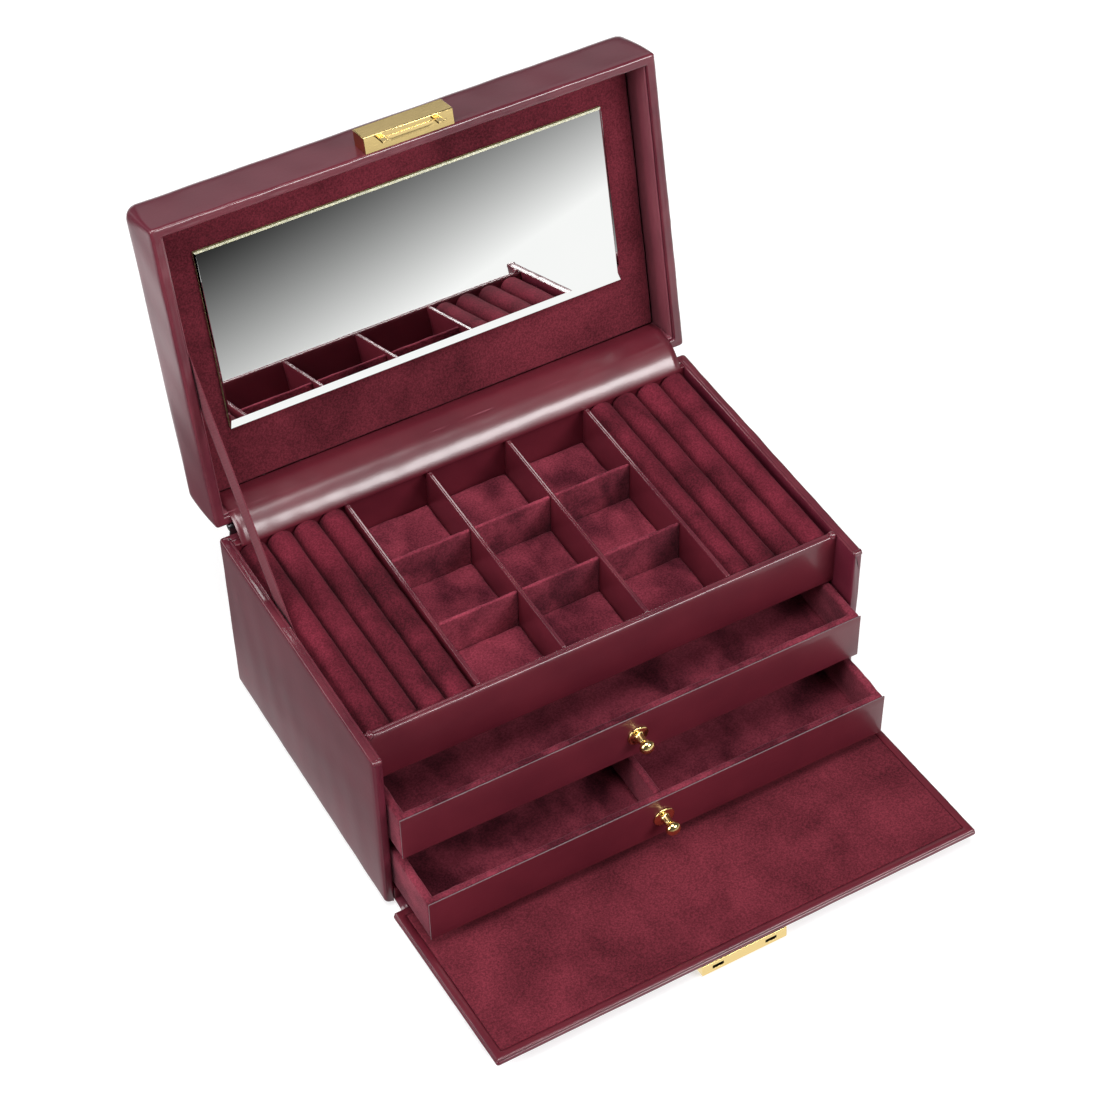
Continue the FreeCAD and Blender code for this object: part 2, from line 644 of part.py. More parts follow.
def lid_point(from_pivot, depth):
    """A place on the open lid: from_pivot runs up the rim plane, depth runs into the lid."""
    y, z = LID_PIVOT
    closed = VEC(0, y - from_pivot, LID_RIM_Z + depth)
    turn = FreeCAD.Rotation(X_AXIS, -LID_OPEN)
    moved = VEC(0, y, z) + turn.multVec(closed - VEC(0, y, z))
    return (moved.y, moved.z)


def offset_strip(line, thick):
    """The outline of a strip of even thickness laid above a (y, z) line."""
    upper = []
    for index, (y, z) in enumerate(line):
        before = line[max(index - 1, 0)]
        after = line[min(index + 1, len(line) - 1)]
        dy, dz = after[0] - before[0], after[1] - before[1]
        length = math.hypot(dy, dz)
        upper.append((y - dz / length * thick, z + dy / length * thick))
    return list(line) + upper[::-1]


def hinge_gusset():
    """From the tray's back edge over the hinge and down the lid's inner wall to its panel."""
    lining_u = LID_PIVOT[0] - (LID_BACK_Y - LID_SKIN - LID_WALL - LID_LINING)
    wall_u = lining_u + GUSSET_CLEAR
    line = [(TRAY_BACK_Y, RIM_Z + GUSSET_CLEAR), *GUSSET_RISE,
            lid_point(wall_u, -GUSSET_LID_LIP), lid_point(wall_u, GUSSET_LID_TURN),
            lid_point(wall_u, PANEL_DEPTH - GUSSET_PANEL_GAP)]
    half = INNER_X - GUSSET_SIDE_GAP
    save("hinge_gusset", prism(offset_strip(line, GUSSET_THICK), (-half, half)))


def lid_stay_ribbon():
    """A straight strip from the left panel's inside to the lid's, glued at both ends."""
    front_low = VEC(0, RIBBON_LOW_Y, RIM_Z)
    front_high = VEC(0, *lid_point(RIBBON_HIGH_U, 0))
    along = (front_high - front_low).normalize()
    across = VEC(0, along.z, -along.y) * RIBBON_WIDTH
    low = front_low - along * RIBBON_GLUED
    high = front_high + along * RIBBON_GLUED
    outline = [(p.y, p.z) for p in (low, high, high + across, low + across)]
    x = -INNER_X + LID_LINING + RIBBON_PLAY
    save("lid_stay_ribbon", prism(outline, (x, x + RIBBON_THICK)))


def flap_hinge_strip():
    save("flap_hinge_strip", prism(STRIP_LOWER + STRIP_UPPER, (-INNER_X, INNER_X)))


carcass()
tray()
drawer("upper", UPPER_FRONT_Y, UPPER_DRAWER_Z, UPPER_KNOB_Z, False)
drawer("lower", LOWER_FRONT_Y, LOWER_DRAWER_Z, LOWER_KNOB_Z, True)
lid()
lid_hinge()
flap()
flap_lock()
lid_lock()
hinge_gusset()
lid_stay_ribbon()
flap_hinge_strip()
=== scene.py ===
import json
import math

import bmesh
import bpy
import numpy as np
from mathutils import Matrix, Vector


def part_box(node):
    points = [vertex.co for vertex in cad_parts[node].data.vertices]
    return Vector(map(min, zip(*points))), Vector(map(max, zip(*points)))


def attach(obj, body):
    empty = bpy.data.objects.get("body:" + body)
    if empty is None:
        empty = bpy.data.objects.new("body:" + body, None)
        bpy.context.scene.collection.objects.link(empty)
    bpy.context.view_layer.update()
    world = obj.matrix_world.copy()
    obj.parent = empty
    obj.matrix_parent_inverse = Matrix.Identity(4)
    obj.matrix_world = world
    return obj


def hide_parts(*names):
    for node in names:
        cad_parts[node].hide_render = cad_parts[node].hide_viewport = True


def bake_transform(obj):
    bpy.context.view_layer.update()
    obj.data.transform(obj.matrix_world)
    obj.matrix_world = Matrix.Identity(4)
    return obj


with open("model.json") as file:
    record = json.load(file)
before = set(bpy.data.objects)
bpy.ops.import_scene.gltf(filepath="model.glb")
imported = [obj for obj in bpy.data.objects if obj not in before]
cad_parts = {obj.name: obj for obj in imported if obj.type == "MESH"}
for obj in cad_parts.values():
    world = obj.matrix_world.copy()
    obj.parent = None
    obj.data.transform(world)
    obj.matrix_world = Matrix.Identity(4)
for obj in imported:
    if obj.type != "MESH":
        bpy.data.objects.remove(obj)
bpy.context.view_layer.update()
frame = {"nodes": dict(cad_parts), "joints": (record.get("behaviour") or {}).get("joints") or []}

# Leather jewellery case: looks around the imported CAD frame. Metres, X right, Y back, Z up.
# The helpers take radii, steps, crowns, thicknesses and wrinkles in millimetres.
MM = 0.001
WELD = 1e-6      # points closer than this become one
SLIVER = 1e-7    # edges shorter than this are dropped
JOINTS = {joint["name"]: joint for joint in frame["joints"]}


# ---- places from the frame

def opened_by(joint_name):
    """The rotation that carries a piece from its shut place to the rest pose."""
    joint = JOINTS[joint_name]
    pivot = Vector(joint["pos_m"])
    turn = Matrix.Rotation(-math.radians(joint["range_deg"][1]), 4, Vector(joint["axis"]))
    return Matrix.Translation(pivot) @ turn @ Matrix.Translation(-pivot)


LID_OPENED = opened_by("lid_hinge")
FLAP_OPENED = opened_by("flap_hinge")


def shut_box(node, opened=LID_OPENED):
    """Lowest and highest corner of a CAD node in its shut place."""
    back = opened.inverted()
    points = np.array([back @ v.co for v in frame["nodes"][node].data.vertices])
    return Vector(points.min(0)), Vector(points.max(0))


# ---- mesh helpers

WAVES = 7
WAVE_RATES = (0.55, 1.5)    # slowest and fastest wave, as shares of the asked one
LARGEST_ROUND = 0.499       # share of a box's shortest side
END_ARC = 3                 # steps of the round at a path's ends
NEAR_CORNER = 7             # stations that stand closer at each corner of a ring
TURNED = 48                 # segments of a lathed piece


def ripple(points, size, seed):
    """Smooth random height, mostly from -1 to 1, about size metres from hill to hill."""
    chance = np.random.default_rng(seed)
    total = np.zeros(len(points))
    for _ in range(WAVES):
        direction = chance.normal(size=3)
        direction /= np.linalg.norm(direction)
        wave = 2 * math.pi / size * chance.uniform(*WAVE_RATES)
        total += np.sin(points @ direction * wave + chance.uniform(0, 2 * math.pi))
    return total / (WAVES / 2)


def add_object(name, data):
    obj = bpy.data.objects.new(name, data)
    bpy.context.scene.collection.objects.link(obj)
    return obj


def make(name, vertices, faces, material, opened=None, smooth=True):
    """A mesh object; opened carries it from its shut place to the rest pose."""
    mesh = bpy.data.meshes.new(name)
    mesh.from_pydata([tuple(v) for v in vertices], [], faces)
    work = bmesh.new()
    work.from_mesh(mesh)
    bmesh.ops.remove_doubles(work, verts=work.verts, dist=WELD)
    bmesh.ops.dissolve_degenerate(work, edges=work.edges, dist=SLIVER)
    bmesh.ops.recalc_face_normals(work, faces=work.faces)
    work.to_mesh(mesh)
    work.free()
    mesh.materials.append(material)
    mesh.polygons.foreach_set("use_smooth", [smooth] * len(mesh.polygons))
    if opened is not None:
        mesh.transform(opened)
    return add_object(name, mesh)


def wrinkle(obj, height, size, seed, mask=lambda points: 1.0):
    """Move the surface in and out by a smooth random height, both in millimetres."""
    mesh = obj.data
    count = len(mesh.vertices)
    points = np.zeros(count * 3)
    normals = np.zeros(count * 3, np.float32)
    mesh.vertices.foreach_get("co", points)
    mesh.vertices.foreach_get("normal", normals)
    points = points.reshape(-1, 3)
    amount = ripple(points, size * MM, seed) * (height * MM) * mask(points)
    points = points + normals.reshape(-1, 3) * amount[:, None]
    mesh.vertices.foreach_set("co", points.ravel())
    mesh.update()


def near(height, spread):
    """A mask for wrinkle: full at a height in metres, fading over spread millimetres."""
    return lambda points: np.exp(-((points[:, 2] - height) / (spread * MM)) ** 2)


def unit(rows):
    return rows / np.linalg.norm(rows, axis=1)[:, None]


def stops(low, high, radius, step, arc):
    """Places along one side of a soft box, closer together in its rounded ends."""
    ends = [radius * math.tan(math.pi / 4 * k / arc) for k in range(arc + 1)]
    count = max(1, round((high - low - 2 * radius) / step))
    middle = np.linspace(low + radius, high - radius, count + 1)
    left = [low + radius - e for e in ends[:0:-1]]
    right = [high - radius + e for e in ends[1:]]
    return np.concatenate([left, middle, right])


def lattice_faces(lists):
    """Vertices and quads of a box surface, cut at the given places along X, Y and Z."""
    index = {}
    vertices = []

    def vertex(key):
        if key not in index:
            index[key] = len(vertices)
            vertices.append([lists[a][key[a]] for a in range(3)])
        return index[key]

    faces = []
    for axis in range(3):
        cuts = [len(lists[(axis + k) % 3]) - 1 for k in range(3)]
        for end in (0, cuts[0]):
            for i in range(cuts[1]):
                for j in range(cuts[2]):
                    keys = [(end, i + a, j + b) for a, b in ((0, 0), (1, 0), (1, 1), (0, 1))]
                    quad = [vertex(key[-axis:] + key[:-axis]) for key in keys]
                    faces.append(quad if end else quad[::-1])
    return np.array(vertices), faces


def soft_box(name, low, high, radius, material, step=4, arc=3, crown=0, opened=None):
    """A box with rounded edges. crown is how far the middle of its top and bottom swells."""
    low, high = np.array(low, float), np.array(high, float)
    radius = min(radius * MM, LARGEST_ROUND * (high - low).min())
    lists = [stops(low[a], high[a], radius, step * MM, arc) for a in range(3)]
    points, faces = lattice_faces(lists)
    inner = np.clip(points, low + radius, high - radius)
    points = inner + unit(points - inner) * radius
    if crown:
        x, y, z = ((points - (low + high) / 2) / ((high - low) / 2)).T
        points[:, 2] += z * ((1 - x ** 4) * (1 - y ** 4)) * (crown * MM)
    return make(name, points, faces, material, opened)


def arc_at(centre, radius, start, end, count):
    """Points of an arc in a profile, angles in degrees."""
    angles = np.radians(np.linspace(start, end, count))
    return [(centre[0] + radius * math.cos(a), centre[1] + radius * math.sin(a)) for a in angles]


def between(start, end, count):
    """Points between two profile points, without the two ends."""
    return [tuple(p) for p in np.linspace(start, end, count + 2)[1:-1]]


class Path:
    """Stations along a line seen from above. A profile point at depth d lies d inside the line.
    A row's last number is how far the profile shrinks there."""

    def __init__(self):
        self.rows = []

    def straight(self, start, end, normal, places):
        for t in places:
            spot = tuple(a + (b - a) * t for a, b in zip(start, end))
            self.rows.append((spot, normal, normal, 0.0, 0.0))

    def corner(self, centre, radius, start, turn, count):
        """A rounded corner of 90 degrees, from the direction start, in degrees."""
        middle = math.radians(start + turn / 2)
        mitre = (math.copysign(1, math.cos(middle)), math.copysign(1, math.sin(middle)))
        for k in range(count + 1):
            a = math.radians(start + turn * k / count)
            self.rows.append((centre, (math.cos(a), math.sin(a)), mitre, radius, 0.0))

    def inset(self, index, amount):
        self.rows[index] = (*self.rows[index][:4], amount)

    def point(self, index, depth, _):
        centre, normal, mitre, radius, _ = self.rows[index]
        way = normal if depth <= radius else mitre
        return tuple(c + (radius - depth) * w for c, w in zip(centre, way))


class RingPath:
    """Stations round a rectangle seen from above, anticlockwise from the front left corner.
    corner(z) is the radius of its upright corners at height z."""

    def __init__(self, low, high, step, corner):
        (x0, y0), (x1, y1) = low, high
        corners = (low, (x1, y0), high, (x0, y1), low)
        self.low, self.high, self.corner = low, high, corner
        self.rows = []
        for start, end, normal in zip(corners, corners[1:], ((0, -1), (1, 0), (0, 1), (-1, 0))):
            length = math.dist(start, end)
            ends = [k * k * 0.25 * MM for k in range(NEAR_CORNER)]
            count = max(2, round((length - 2 * ends[-1]) / (step * MM)))
            middle = list(np.linspace(ends[-1], length - ends[-1], count + 1)[1:-1])
            for along in ends + middle + [length - n for n in ends[:0:-1]]:
                t = along / length
                x, y = (a + (b - a) * t for a, b in zip(start, end))
                self.rows.append((x, y, normal, 0.0, 0.0))

    def point(self, index, depth, height):
        x, y, normal = self.rows[index][:3]
        x, y = x - normal[0] * depth, y - normal[1] * depth
        radius = self.corner(height) - depth
        held = []
        for value, low, high in zip((x, y), self.low, self.high):
            value = min(max(value, low + depth), high - depth)
            held.append((value, min(max(value, low + depth + radius), high - depth - radius)))
        (x, flat_x), (y, flat_y) = held
        away = math.hypot(x - flat_x, y - flat_y)
        if radius > 0 and x != flat_x and y != flat_y:
            x = flat_x + (x - flat_x) * radius / away
            y = flat_y + (y - flat_y) * radius / away
        return (x, y)


def profile_normals(profile):
    """Unit outward normals of a closed profile that runs either way round."""
    points = np.array(profile)
    after = np.roll(points, -1, axis=0)
    ahead = after - np.roll(points, 1, axis=0)
    normals = np.stack([ahead[:, 1], -ahead[:, 0]], axis=1)
    normals /= np.linalg.norm(normals, axis=1)[:, None] + 1e-12
    area = float((points[:, 0] * after[:, 1] - after[:, 0] * points[:, 1]).sum())
    return normals if area > 0 else -normals


def sweep(name, path, profile, material, ring=False, loop=True, caps=(), opened=None,
          lift=lambda x, y, depth, height: height):
    """Carry a profile of (depth, height) points along a path.
    ring closes the path, loop closes the profile. caps are the profile points, 0 or -1, whose
    line is filled with a flat grid. lift(x, y, depth, height) may change a point's height."""
    count, size = len(path.rows), len(profile)
    normals = profile_normals(profile)
    vertices = []
    for i in range(count):
        shrink = path.rows[i][4]
        for (depth, height), normal in zip(profile, normals):
            d, z = depth - normal[0] * shrink, height - normal[1] * shrink
            x, y = path.point(i, d, height)
            vertices.append((x, y, lift(x, y, d, z)))
    faces = []
    for i in range(count if ring else count - 1):
        k = (i + 1) % count
        for j in range(size if loop else size - 1):
            m = (j + 1) % size
            faces.append((i * size + j, k * size + j, k * size + m, i * size + m))
    if not ring and loop:
        faces += [tuple(range(first, first + size)) for first in (0, (count - 1) * size)]
    for cap in caps:
        edge = np.array([vertices[i * size + cap % size] for i in range(count)])
        xs, ys = (np.unique(np.round(edge[:, axis], 6)) for axis in (0, 1))
        base, wide = len(vertices), len(xs)
        vertices += [(x, y, lift(x, y, *profile[cap])) for y in ys for x in xs]
        for b in range(len(ys) - 1):
            for first in range(base + b * wide, base + b * wide + wide - 1):
                faces.append((first, first + 1, first + wide + 1, first + wide))
    return make(name, vertices, faces, material, opened)


def tapered(start, end, normal, radius, step, both=True):
    """A straight path whose profile shrinks in a round at its start, or at both ends."""
    radius, length = radius * MM, math.dist(start, end)
    turns = [math.pi / 2 * k / END_ARC for k in range(END_ARC + 1)]
    ends = [radius * (1 - math.cos(a)) for a in turns]
    count = max(1, round((length - 2 * radius) / (step * MM)))
    places = ends + list(np.linspace(radius, length - radius, count + 1)[1:-1])
    places += [length - along for along in ends[::-1]]
    path = Path()
    path.straight(start, end, normal, [along / length for along in places])
    for k, a in enumerate(turns):
        for index in (k, -1 - k) if both else (k,):
            path.inset(index, radius * (1 - math.sin(a)))
    return path


def lathe(name, profile, material, centre):
    """A turned piece about a line along -Y. The profile is (radius, distance to the front)."""
    vertices = []
    for radius, along in profile:
        for k in range(TURNED):
            a = 2 * math.pi * k / TURNED
            vertices.append((centre[0] + radius * math.cos(a), centre[1] - along,
                             centre[2] + radius * math.sin(a)))
    last = (len(profile) - 1) * TURNED
    faces = []
    for base in range(0, last, TURNED):
        for k in range(TURNED):
            pair = (base + k, base + (k + 1) % TURNED)
            faces.append((*pair, pair[1] + TURNED, pair[0] + TURNED))
    faces += [tuple(range(base, base + TURNED)) for base in (0, last)]
    return make(name, vertices, faces, material)


def smooth_curve(points, count):
    """Points on a smooth curve through the given (y, z) points."""
    known = np.array(points, float)
    gaps = np.linalg.norm(np.diff(known, axis=0), axis=1)
    where = np.concatenate([[0], np.cumsum(np.sqrt(gaps))])
    slopes = np.gradient(known, where, axis=0)
    out = []
    for s in np.linspace(0, where[-1], count):
        k = min(int(np.searchsorted(where, s, side="right")) - 1, len(where) - 2)
        span = where[k + 1] - where[k]
        t = (s - where[k]) / span
        a = (1 + 2 * t) * (1 - t) ** 2
        b = t * (1 - t) ** 2 * span
        c = t * t * (3 - 2 * t)
        d = t * t * (t - 1) * span
        out.append(a * known[k] + b * slopes[k] + c * known[k + 1] + d * slopes[k + 1])
    return np.array(out)


def bent_sheet(name, line, x_low, x_high, thick, material, step):
    """A sheet of even thickness across X, on a (y, z) line."""
    line = np.array(line)
    ahead = unit(np.gradient(line, axis=0))
    side = np.stack([-ahead[:, 1], ahead[:, 0]], axis=1) * (thick * MM)
    outline = np.concatenate([line, (line + side)[::-1]])
    xs = np.linspace(x_low, x_high, max(2, round((x_high - x_low) / (step * MM))) + 1)
    size = len(outline)
    vertices = [(x, y, z) for x in xs for y, z in outline]
    last = (len(xs) - 1) * size
    faces = []
    for i in range(0, last, size):
        for j in range(size):
            m = (j + 1) % size
            faces.append((i + j, i + size + j, i + size + m, i + m))
    for base in (0, last):
        for j in range(size // 2 - 1):
            faces.append((base + j, base + j + 1, base + size - 2 - j, base + size - 1 - j))
    return make(name, vertices, faces, material)


def edge_bevel(obj, width):
    """Soften the sharp edges of a CAD node without changing its mesh."""
    weld = obj.modifiers.new("weld", "WELD")
    weld.merge_threshold = WELD
    bevel = obj.modifiers.new("bevel", "BEVEL")
    bevel.width = width * MM
    bevel.segments = 2
    bevel.limit_method = "ANGLE"
    bevel.angle_limit = math.radians(35)
    bevel.harden_normals = True


# ---- materials

class Surface:
    """A Principled material with short calls for its procedural nodes."""

    def __init__(self, name, **sockets):
        self.material = bpy.data.materials.new(name)
        self.material.use_nodes = True
        self.tree = self.material.node_tree
        self.shader = self.tree.nodes["Principled BSDF"]
        self.coords = self.tree.nodes.new("ShaderNodeTexCoord").outputs["Object"]
        for socket, value in sockets.items():
            self.shader.inputs[socket.replace("_", " ")].default_value = value

    def node(self, kind, inputs, **settings):
        made = self.tree.nodes.new("ShaderNode" + kind)
        for key, value in settings.items():
            setattr(made, key, value)
        for key, value in inputs.items():
            if isinstance(value, bpy.types.NodeSocket):
                self.tree.links.new(value, made.inputs[key])
            else:
                made.inputs[key].default_value = value
        return made

    def mapped(self, **settings):
        """Coordinates turned by Rotation or stretched by Scale."""
        return self.node("Mapping", {"Vector": self.coords, **settings}).outputs[0]

    def noise(self, size, detail=3.0, rough=0.55, distort=0.0, vector=None):
        """Noise from 0 to 1 with features about size metres across."""
        return self.node("TexNoise", {
            "Vector": vector or self.coords, "Scale": 1 / size, "Detail": detail,
            "Roughness": rough, "Distortion": distort}).outputs[0]

    def ramp(self, value, low, high, to_low=0.0, to_high=1.0):
        return self.node("MapRange", {
            "Value": value, "From Min": low, "From Max": high,
            "To Min": to_low, "To Max": to_high}).outputs[0]

    def maths(self, operation, *values, use_clamp=False):
        return self.node("Math", dict(enumerate(values)), operation=operation,
                         use_clamp=use_clamp).outputs[0]

    def mix(self, factor, a, b):
        """A colour between a and b, each a colour or a socket."""
        a, b = (c if isinstance(c, bpy.types.NodeSocket) else (*c, 1.0) for c in (a, b))
        return self.node("Mix", {0: factor, 6: a, 7: b}, data_type="RGBA").outputs[2]

    def drive(self, socket, value):
        self.tree.links.new(value, self.shader.inputs[socket])

    def bump(self, height, depth, strength, **under):
        return self.node("Bump", {
            "Height": height, "Distance": depth, "Strength": strength, **under}).outputs[0]


def leather(name, dark, light, rough, grain, coat=0.35, relief=1.0, gloss=0.45):
    """Glazed calf leather: fine pores and soft colour clouds under a glossy finish."""
    s = Surface(
        name, Roughness=rough, Coat_Weight=coat, Coat_Roughness=0.12, Specular_IOR_Level=gloss)
    cloud = s.ramp(s.noise(0.035, detail=4.0), 0.35, 0.65)
    s.drive("Base Color", s.mix(cloud, dark, light))
    pores = s.noise(grain, detail=1.5, rough=0.5)
    dents = s.noise(0.0045, detail=2.0, rough=0.5)
    fine = s.bump(pores, depth=0.00006, strength=0.4 * relief)
    s.drive("Normal", s.bump(dents, depth=0.00016, strength=0.16 * relief, Normal=fine))
    return s.material


def velour(name, dark, light, size, stroke=0.3, contrast=0.11, sheen=0.22):
    """Short-pile velour with a brushed nap: soft clouds, strokes and a fine fibre grain."""
    s = Surface(name, Roughness=0.95, Specular_IOR_Level=0.12, Sheen_Weight=sheen,
                Sheen_Roughness=0.4, Sheen_Tint=(0.85, 0.32, 0.40, 1.0))
    cloud = s.noise(size, detail=2.0, rough=0.5, distort=0.5)
    turned = s.mapped(Rotation=(0.2, 0.1, 0.7), Scale=(1.5, 0.8, 1.0))
    strokes = s.noise(size * 0.7, detail=1.2, rough=0.4, distort=0.8, vector=turned)
    nap = s.maths("ADD", s.maths("MULTIPLY", cloud, 1.0 - stroke),
                  s.maths("MULTIPLY", strokes, stroke))
    brushed = s.ramp(nap, 0.5 - contrast, 0.5 + contrast)
    fibre = s.ramp(s.noise(0.0011, detail=2.0, rough=0.8), 0.36, 0.64)

    def grainy(colour, down, up):
        return s.mix(fibre, tuple(down * c for c in colour), tuple(up * c for c in colour))

    s.drive("Base Color", s.mix(brushed, grainy(dark, 0.55, 1.45), grainy(light, 0.70, 1.30)))
    pile = s.noise(0.0009, detail=3.0, rough=0.75)
    s.drive("Normal", s.bump(pile, depth=0.0003, strength=0.5))
    return s.material


def metal(name, colour, rough):
    """Polished metal with faint fine scratches."""
    s = Surface(name, Metallic=1.0, Base_Color=(*colour, 1.0))
    streak = s.noise(0.0006, detail=3.0, rough=0.6, vector=s.mapped(Scale=(0.12, 1.0, 1.0)))
    s.drive("Roughness", s.ramp(streak, 0.3, 0.75, rough, rough + 0.10))
    s.drive("Normal", s.bump(streak, depth=0.00001, strength=0.25))
    return s.material


def plain_fabric(name, dark, light, size, rough=0.95, sheen=0.2):
    """Felt, board or bare backing: a short random fibre grain."""
    s = Surface(name, Roughness=rough, Sheen_Weight=sheen, Specular_IOR_Level=0.2)
    fibres = s.noise(size, detail=4.0, rough=0.7)
    s.drive("Base Color", s.mix(s.ramp(fibres, 0.3, 0.7), dark, light))
    s.drive("Normal", s.bump(fibres, depth=size * 0.4, strength=0.5))
    return s.material


def ribbed_ribbon(name, dark, light):
    """Grosgrain ribbon: fine ribs across its length."""
    s = Surface(name, Roughness=0.9, Sheen_Weight=0.05, Specular_IOR_Level=0.1)
    along = s.mapped(Rotation=(0.63, 0, 0))
    ribs = s.node("TexWave", {"Vector": along, "Scale": 380.0, "Distortion": 0.4},
                  wave_type="BANDS", bands_direction="Z").outputs["Fac"]
    s.drive("Base Color", s.mix(ribs, dark, light))
    s.drive("Normal", s.bump(ribs, depth=0.00012, strength=0.8))
    return s.material


def glass_edge(name):
    """The ground green edge of the mirror's glass."""
    s = Surface(name, Roughness=0.25, Specular_IOR_Level=0.6)
    flecks = s.ramp(s.noise(0.0012, detail=4.0, rough=0.7), 0.35, 0.65)
    s.drive("Base Color", s.mix(flecks, (0.16, 0.17, 0.06), (0.52, 0.50, 0.26)))
    s.drive("Normal", s.bump(flecks, depth=0.0001, strength=0.4))
    return s.material


def silvering(name):
    """Silvered glass: a clean mirror with the faintest haze."""
    s = Surface(name, Metallic=1.0)
    haze = s.noise(0.05, detail=2.0)
    s.drive("Base Color", s.mix(haze, (0.90, 0.915, 0.90), (0.93, 0.94, 0.93)))
    s.drive("Roughness", s.ramp(haze, 0.2, 0.8, 0.0, 0.006))
    return s.material


OUTER = leather(
    "leather_outer", (0.088, 0.010, 0.021), (0.108, 0.013, 0.026), rough=0.29, grain=0.0015)
WINE = ((0.088, 0.009, 0.017), (0.110, 0.012, 0.021))
INNER = leather("leather_lining", *WINE, rough=0.30, grain=0.0013, coat=0.25)
SOFT = leather("leather_gusset", *WINE, rough=0.32, grain=0.0013, coat=0.14, relief=0.7, gloss=0.85)
# Lid wall lining: painted light. The wine lining leather is coloured lighter here to make up for
# the shade inside the lid's walls.
LINING_PAINTED_LIGHTER = leather(
    "leather_lid_lining", (0.160, 0.040, 0.055), (0.200, 0.050, 0.068), rough=0.30, grain=0.0013)
EDGE = leather(
    "leather_rim", (0.080, 0.012, 0.021), (0.125, 0.022, 0.033), rough=0.22, grain=0.0016,
    coat=0.55, relief=0.15)
VELOUR = velour(
    "velour", (0.066, 0.008, 0.016), (0.236, 0.034, 0.056), size=0.034, stroke=0.45, contrast=0.145)
VELOUR_ROLL = velour(
    "velour_roll", (0.052, 0.005, 0.010), (0.126, 0.013, 0.025), size=0.034, contrast=0.125,
    sheen=0.05)
VELOUR_TRAY = velour(
    "velour_drawer", (0.052, 0.006, 0.012), (0.178, 0.026, 0.043), size=0.036, stroke=0.35)
VELOUR_LID = velour(
    "velour_lid", (0.072, 0.008, 0.014), (0.134, 0.017, 0.028), size=0.045, stroke=0.25,
    contrast=0.135)
BRASS = metal("polished_brass", (0.88, 0.66, 0.28), rough=0.10)
STEEL = metal("dark_steel", (0.20, 0.21, 0.22), rough=0.28)
SILVER = silvering("mirror_silver")
GLASS_EDGE = glass_edge("mirror_glass_edge")
RIBBON = ribbed_ribbon("ribbon", (0.090, 0.016, 0.024), (0.160, 0.034, 0.048))
CUT_EDGE = plain_fabric(
    "leather_cut_edge", (0.09, 0.06, 0.07), (0.19, 0.145, 0.155), size=0.0008, rough=0.6, sheen=0.0)
FELT = plain_fabric("felt", (0.035, 0.010, 0.014), (0.07, 0.02, 0.028), size=0.001)
BOARD = plain_fabric("grey_board", (0.22, 0.16, 0.11), (0.34, 0.26, 0.19), size=0.0015)


# ---- placing helpers

def place(obj, body, slot, *nodes):
    """Let a piece ride on a body and stand for CAD nodes."""
    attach(obj, body)
    if nodes:
        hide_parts(*nodes)


def paint(obj, material, picks):
    """Give a second material to the faces that picks says yes to."""
    obj.data.materials.append(material)
    for face in obj.data.polygons:
        if picks(face):
            face.material_index = 1


def boxes_in(node):
    """The separate solids of a CAD node, as (low, high) corners."""
    work = bmesh.new()
    work.from_mesh(frame["nodes"][node].data)
    bmesh.ops.remove_doubles(work, verts=work.verts, dist=WELD)
    left = set(work.verts)
    found = []
    while left:
        stack = [left.pop()]
        island = []
        while stack:
            vertex = stack.pop()
            island.append(vertex.co.copy())
            for edge in vertex.link_edges:
                other = edge.other_vert(vertex)
                if other in left:
                    left.remove(other)
                    stack.append(other)
        points = np.array(island)
        found.append((Vector(points.min(0)), Vector(points.max(0))))
    work.free()
    return sorted(found, key=lambda pair: (round(pair[0].x, 4), round(pair[0].y, 4)))


# ---- body

LEFT_LOW, LEFT_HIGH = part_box("side_panel_left")
RIGHT_LOW, RIGHT_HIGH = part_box("side_panel_right")
WALL = LEFT_HIGH.x - LEFT_LOW.x
RIM = LEFT_HIGH.z
RIM_ROLL, BODY_EDGE, ROUND_BACK = 1.3, 4.0, 2.0    # millimetres


def body_profile():
    """Outline of the leather-covered wall: (depth from the outer face, height)."""
    bottom = LEFT_LOW.z - 1.8 * MM
    roll, edge, small = RIM_ROLL * MM, BODY_EDGE * MM, 0.7 * MM
    seam = WALL - 1.5 * MM
    foot = arc_at((edge, bottom + edge), edge, 270, 180, 7)
    outer = between((0, bottom + edge), (0, RIM - roll), 24)
    top = arc_at((roll, RIM - roll), roll, 180, 90, 6)
    band = [(seam + across * MM, RIM - down * MM)
            for across, down in ((-1.2, 0.10), (-0.3, 0.12), (0, 0.42), (0.3, 0.16))]
    inner_top = arc_at((WALL - small, RIM - small - 0.05 * MM), small, 90, 0, 4)
    inner = between((WALL, RIM - 1.0 * MM), (WALL, bottom), 14)
    return foot + outer + top + band + inner_top + inner + [(WALL, bottom)]


def body_leather():
    """One skin round the left side, the back and the right side."""
    x0, x1 = LEFT_LOW.x, RIGHT_HIGH.x
    y0, y1 = LEFT_LOW.y, LEFT_HIGH.y
    turn = ROUND_BACK * MM
    path, right = (tapered((x, y0), (x, y1 - turn), (side, 0), RIM_ROLL, 3.5, both=False)
                   for x, side in ((x0, -1), (x1, 1)))
    path.corner((x0 + turn, y1 - turn), turn, 180, -90, 6)
    path.straight((x0 + turn, y1), (x1 - turn, y1), (0, 1), np.linspace(0, 1, 77)[1:-1])
    path.corner((x1 - turn, y1 - turn), turn, 90, -90, 6)
    path.rows += right.rows[::-1]
    body = sweep("body_leather", path, body_profile(), OUTER)
    paint(body, EDGE, lambda face: face.center.z > RIM - 0.9 * MM)
    wrinkle(body, 0.10, 26, seed=11)
    wrinkle(body, 0.06, 7, seed=12, mask=near(RIM, 2.5))
    place(body, "case", "outer_leather", "side_panel_left", "side_panel_right", "back_panel")


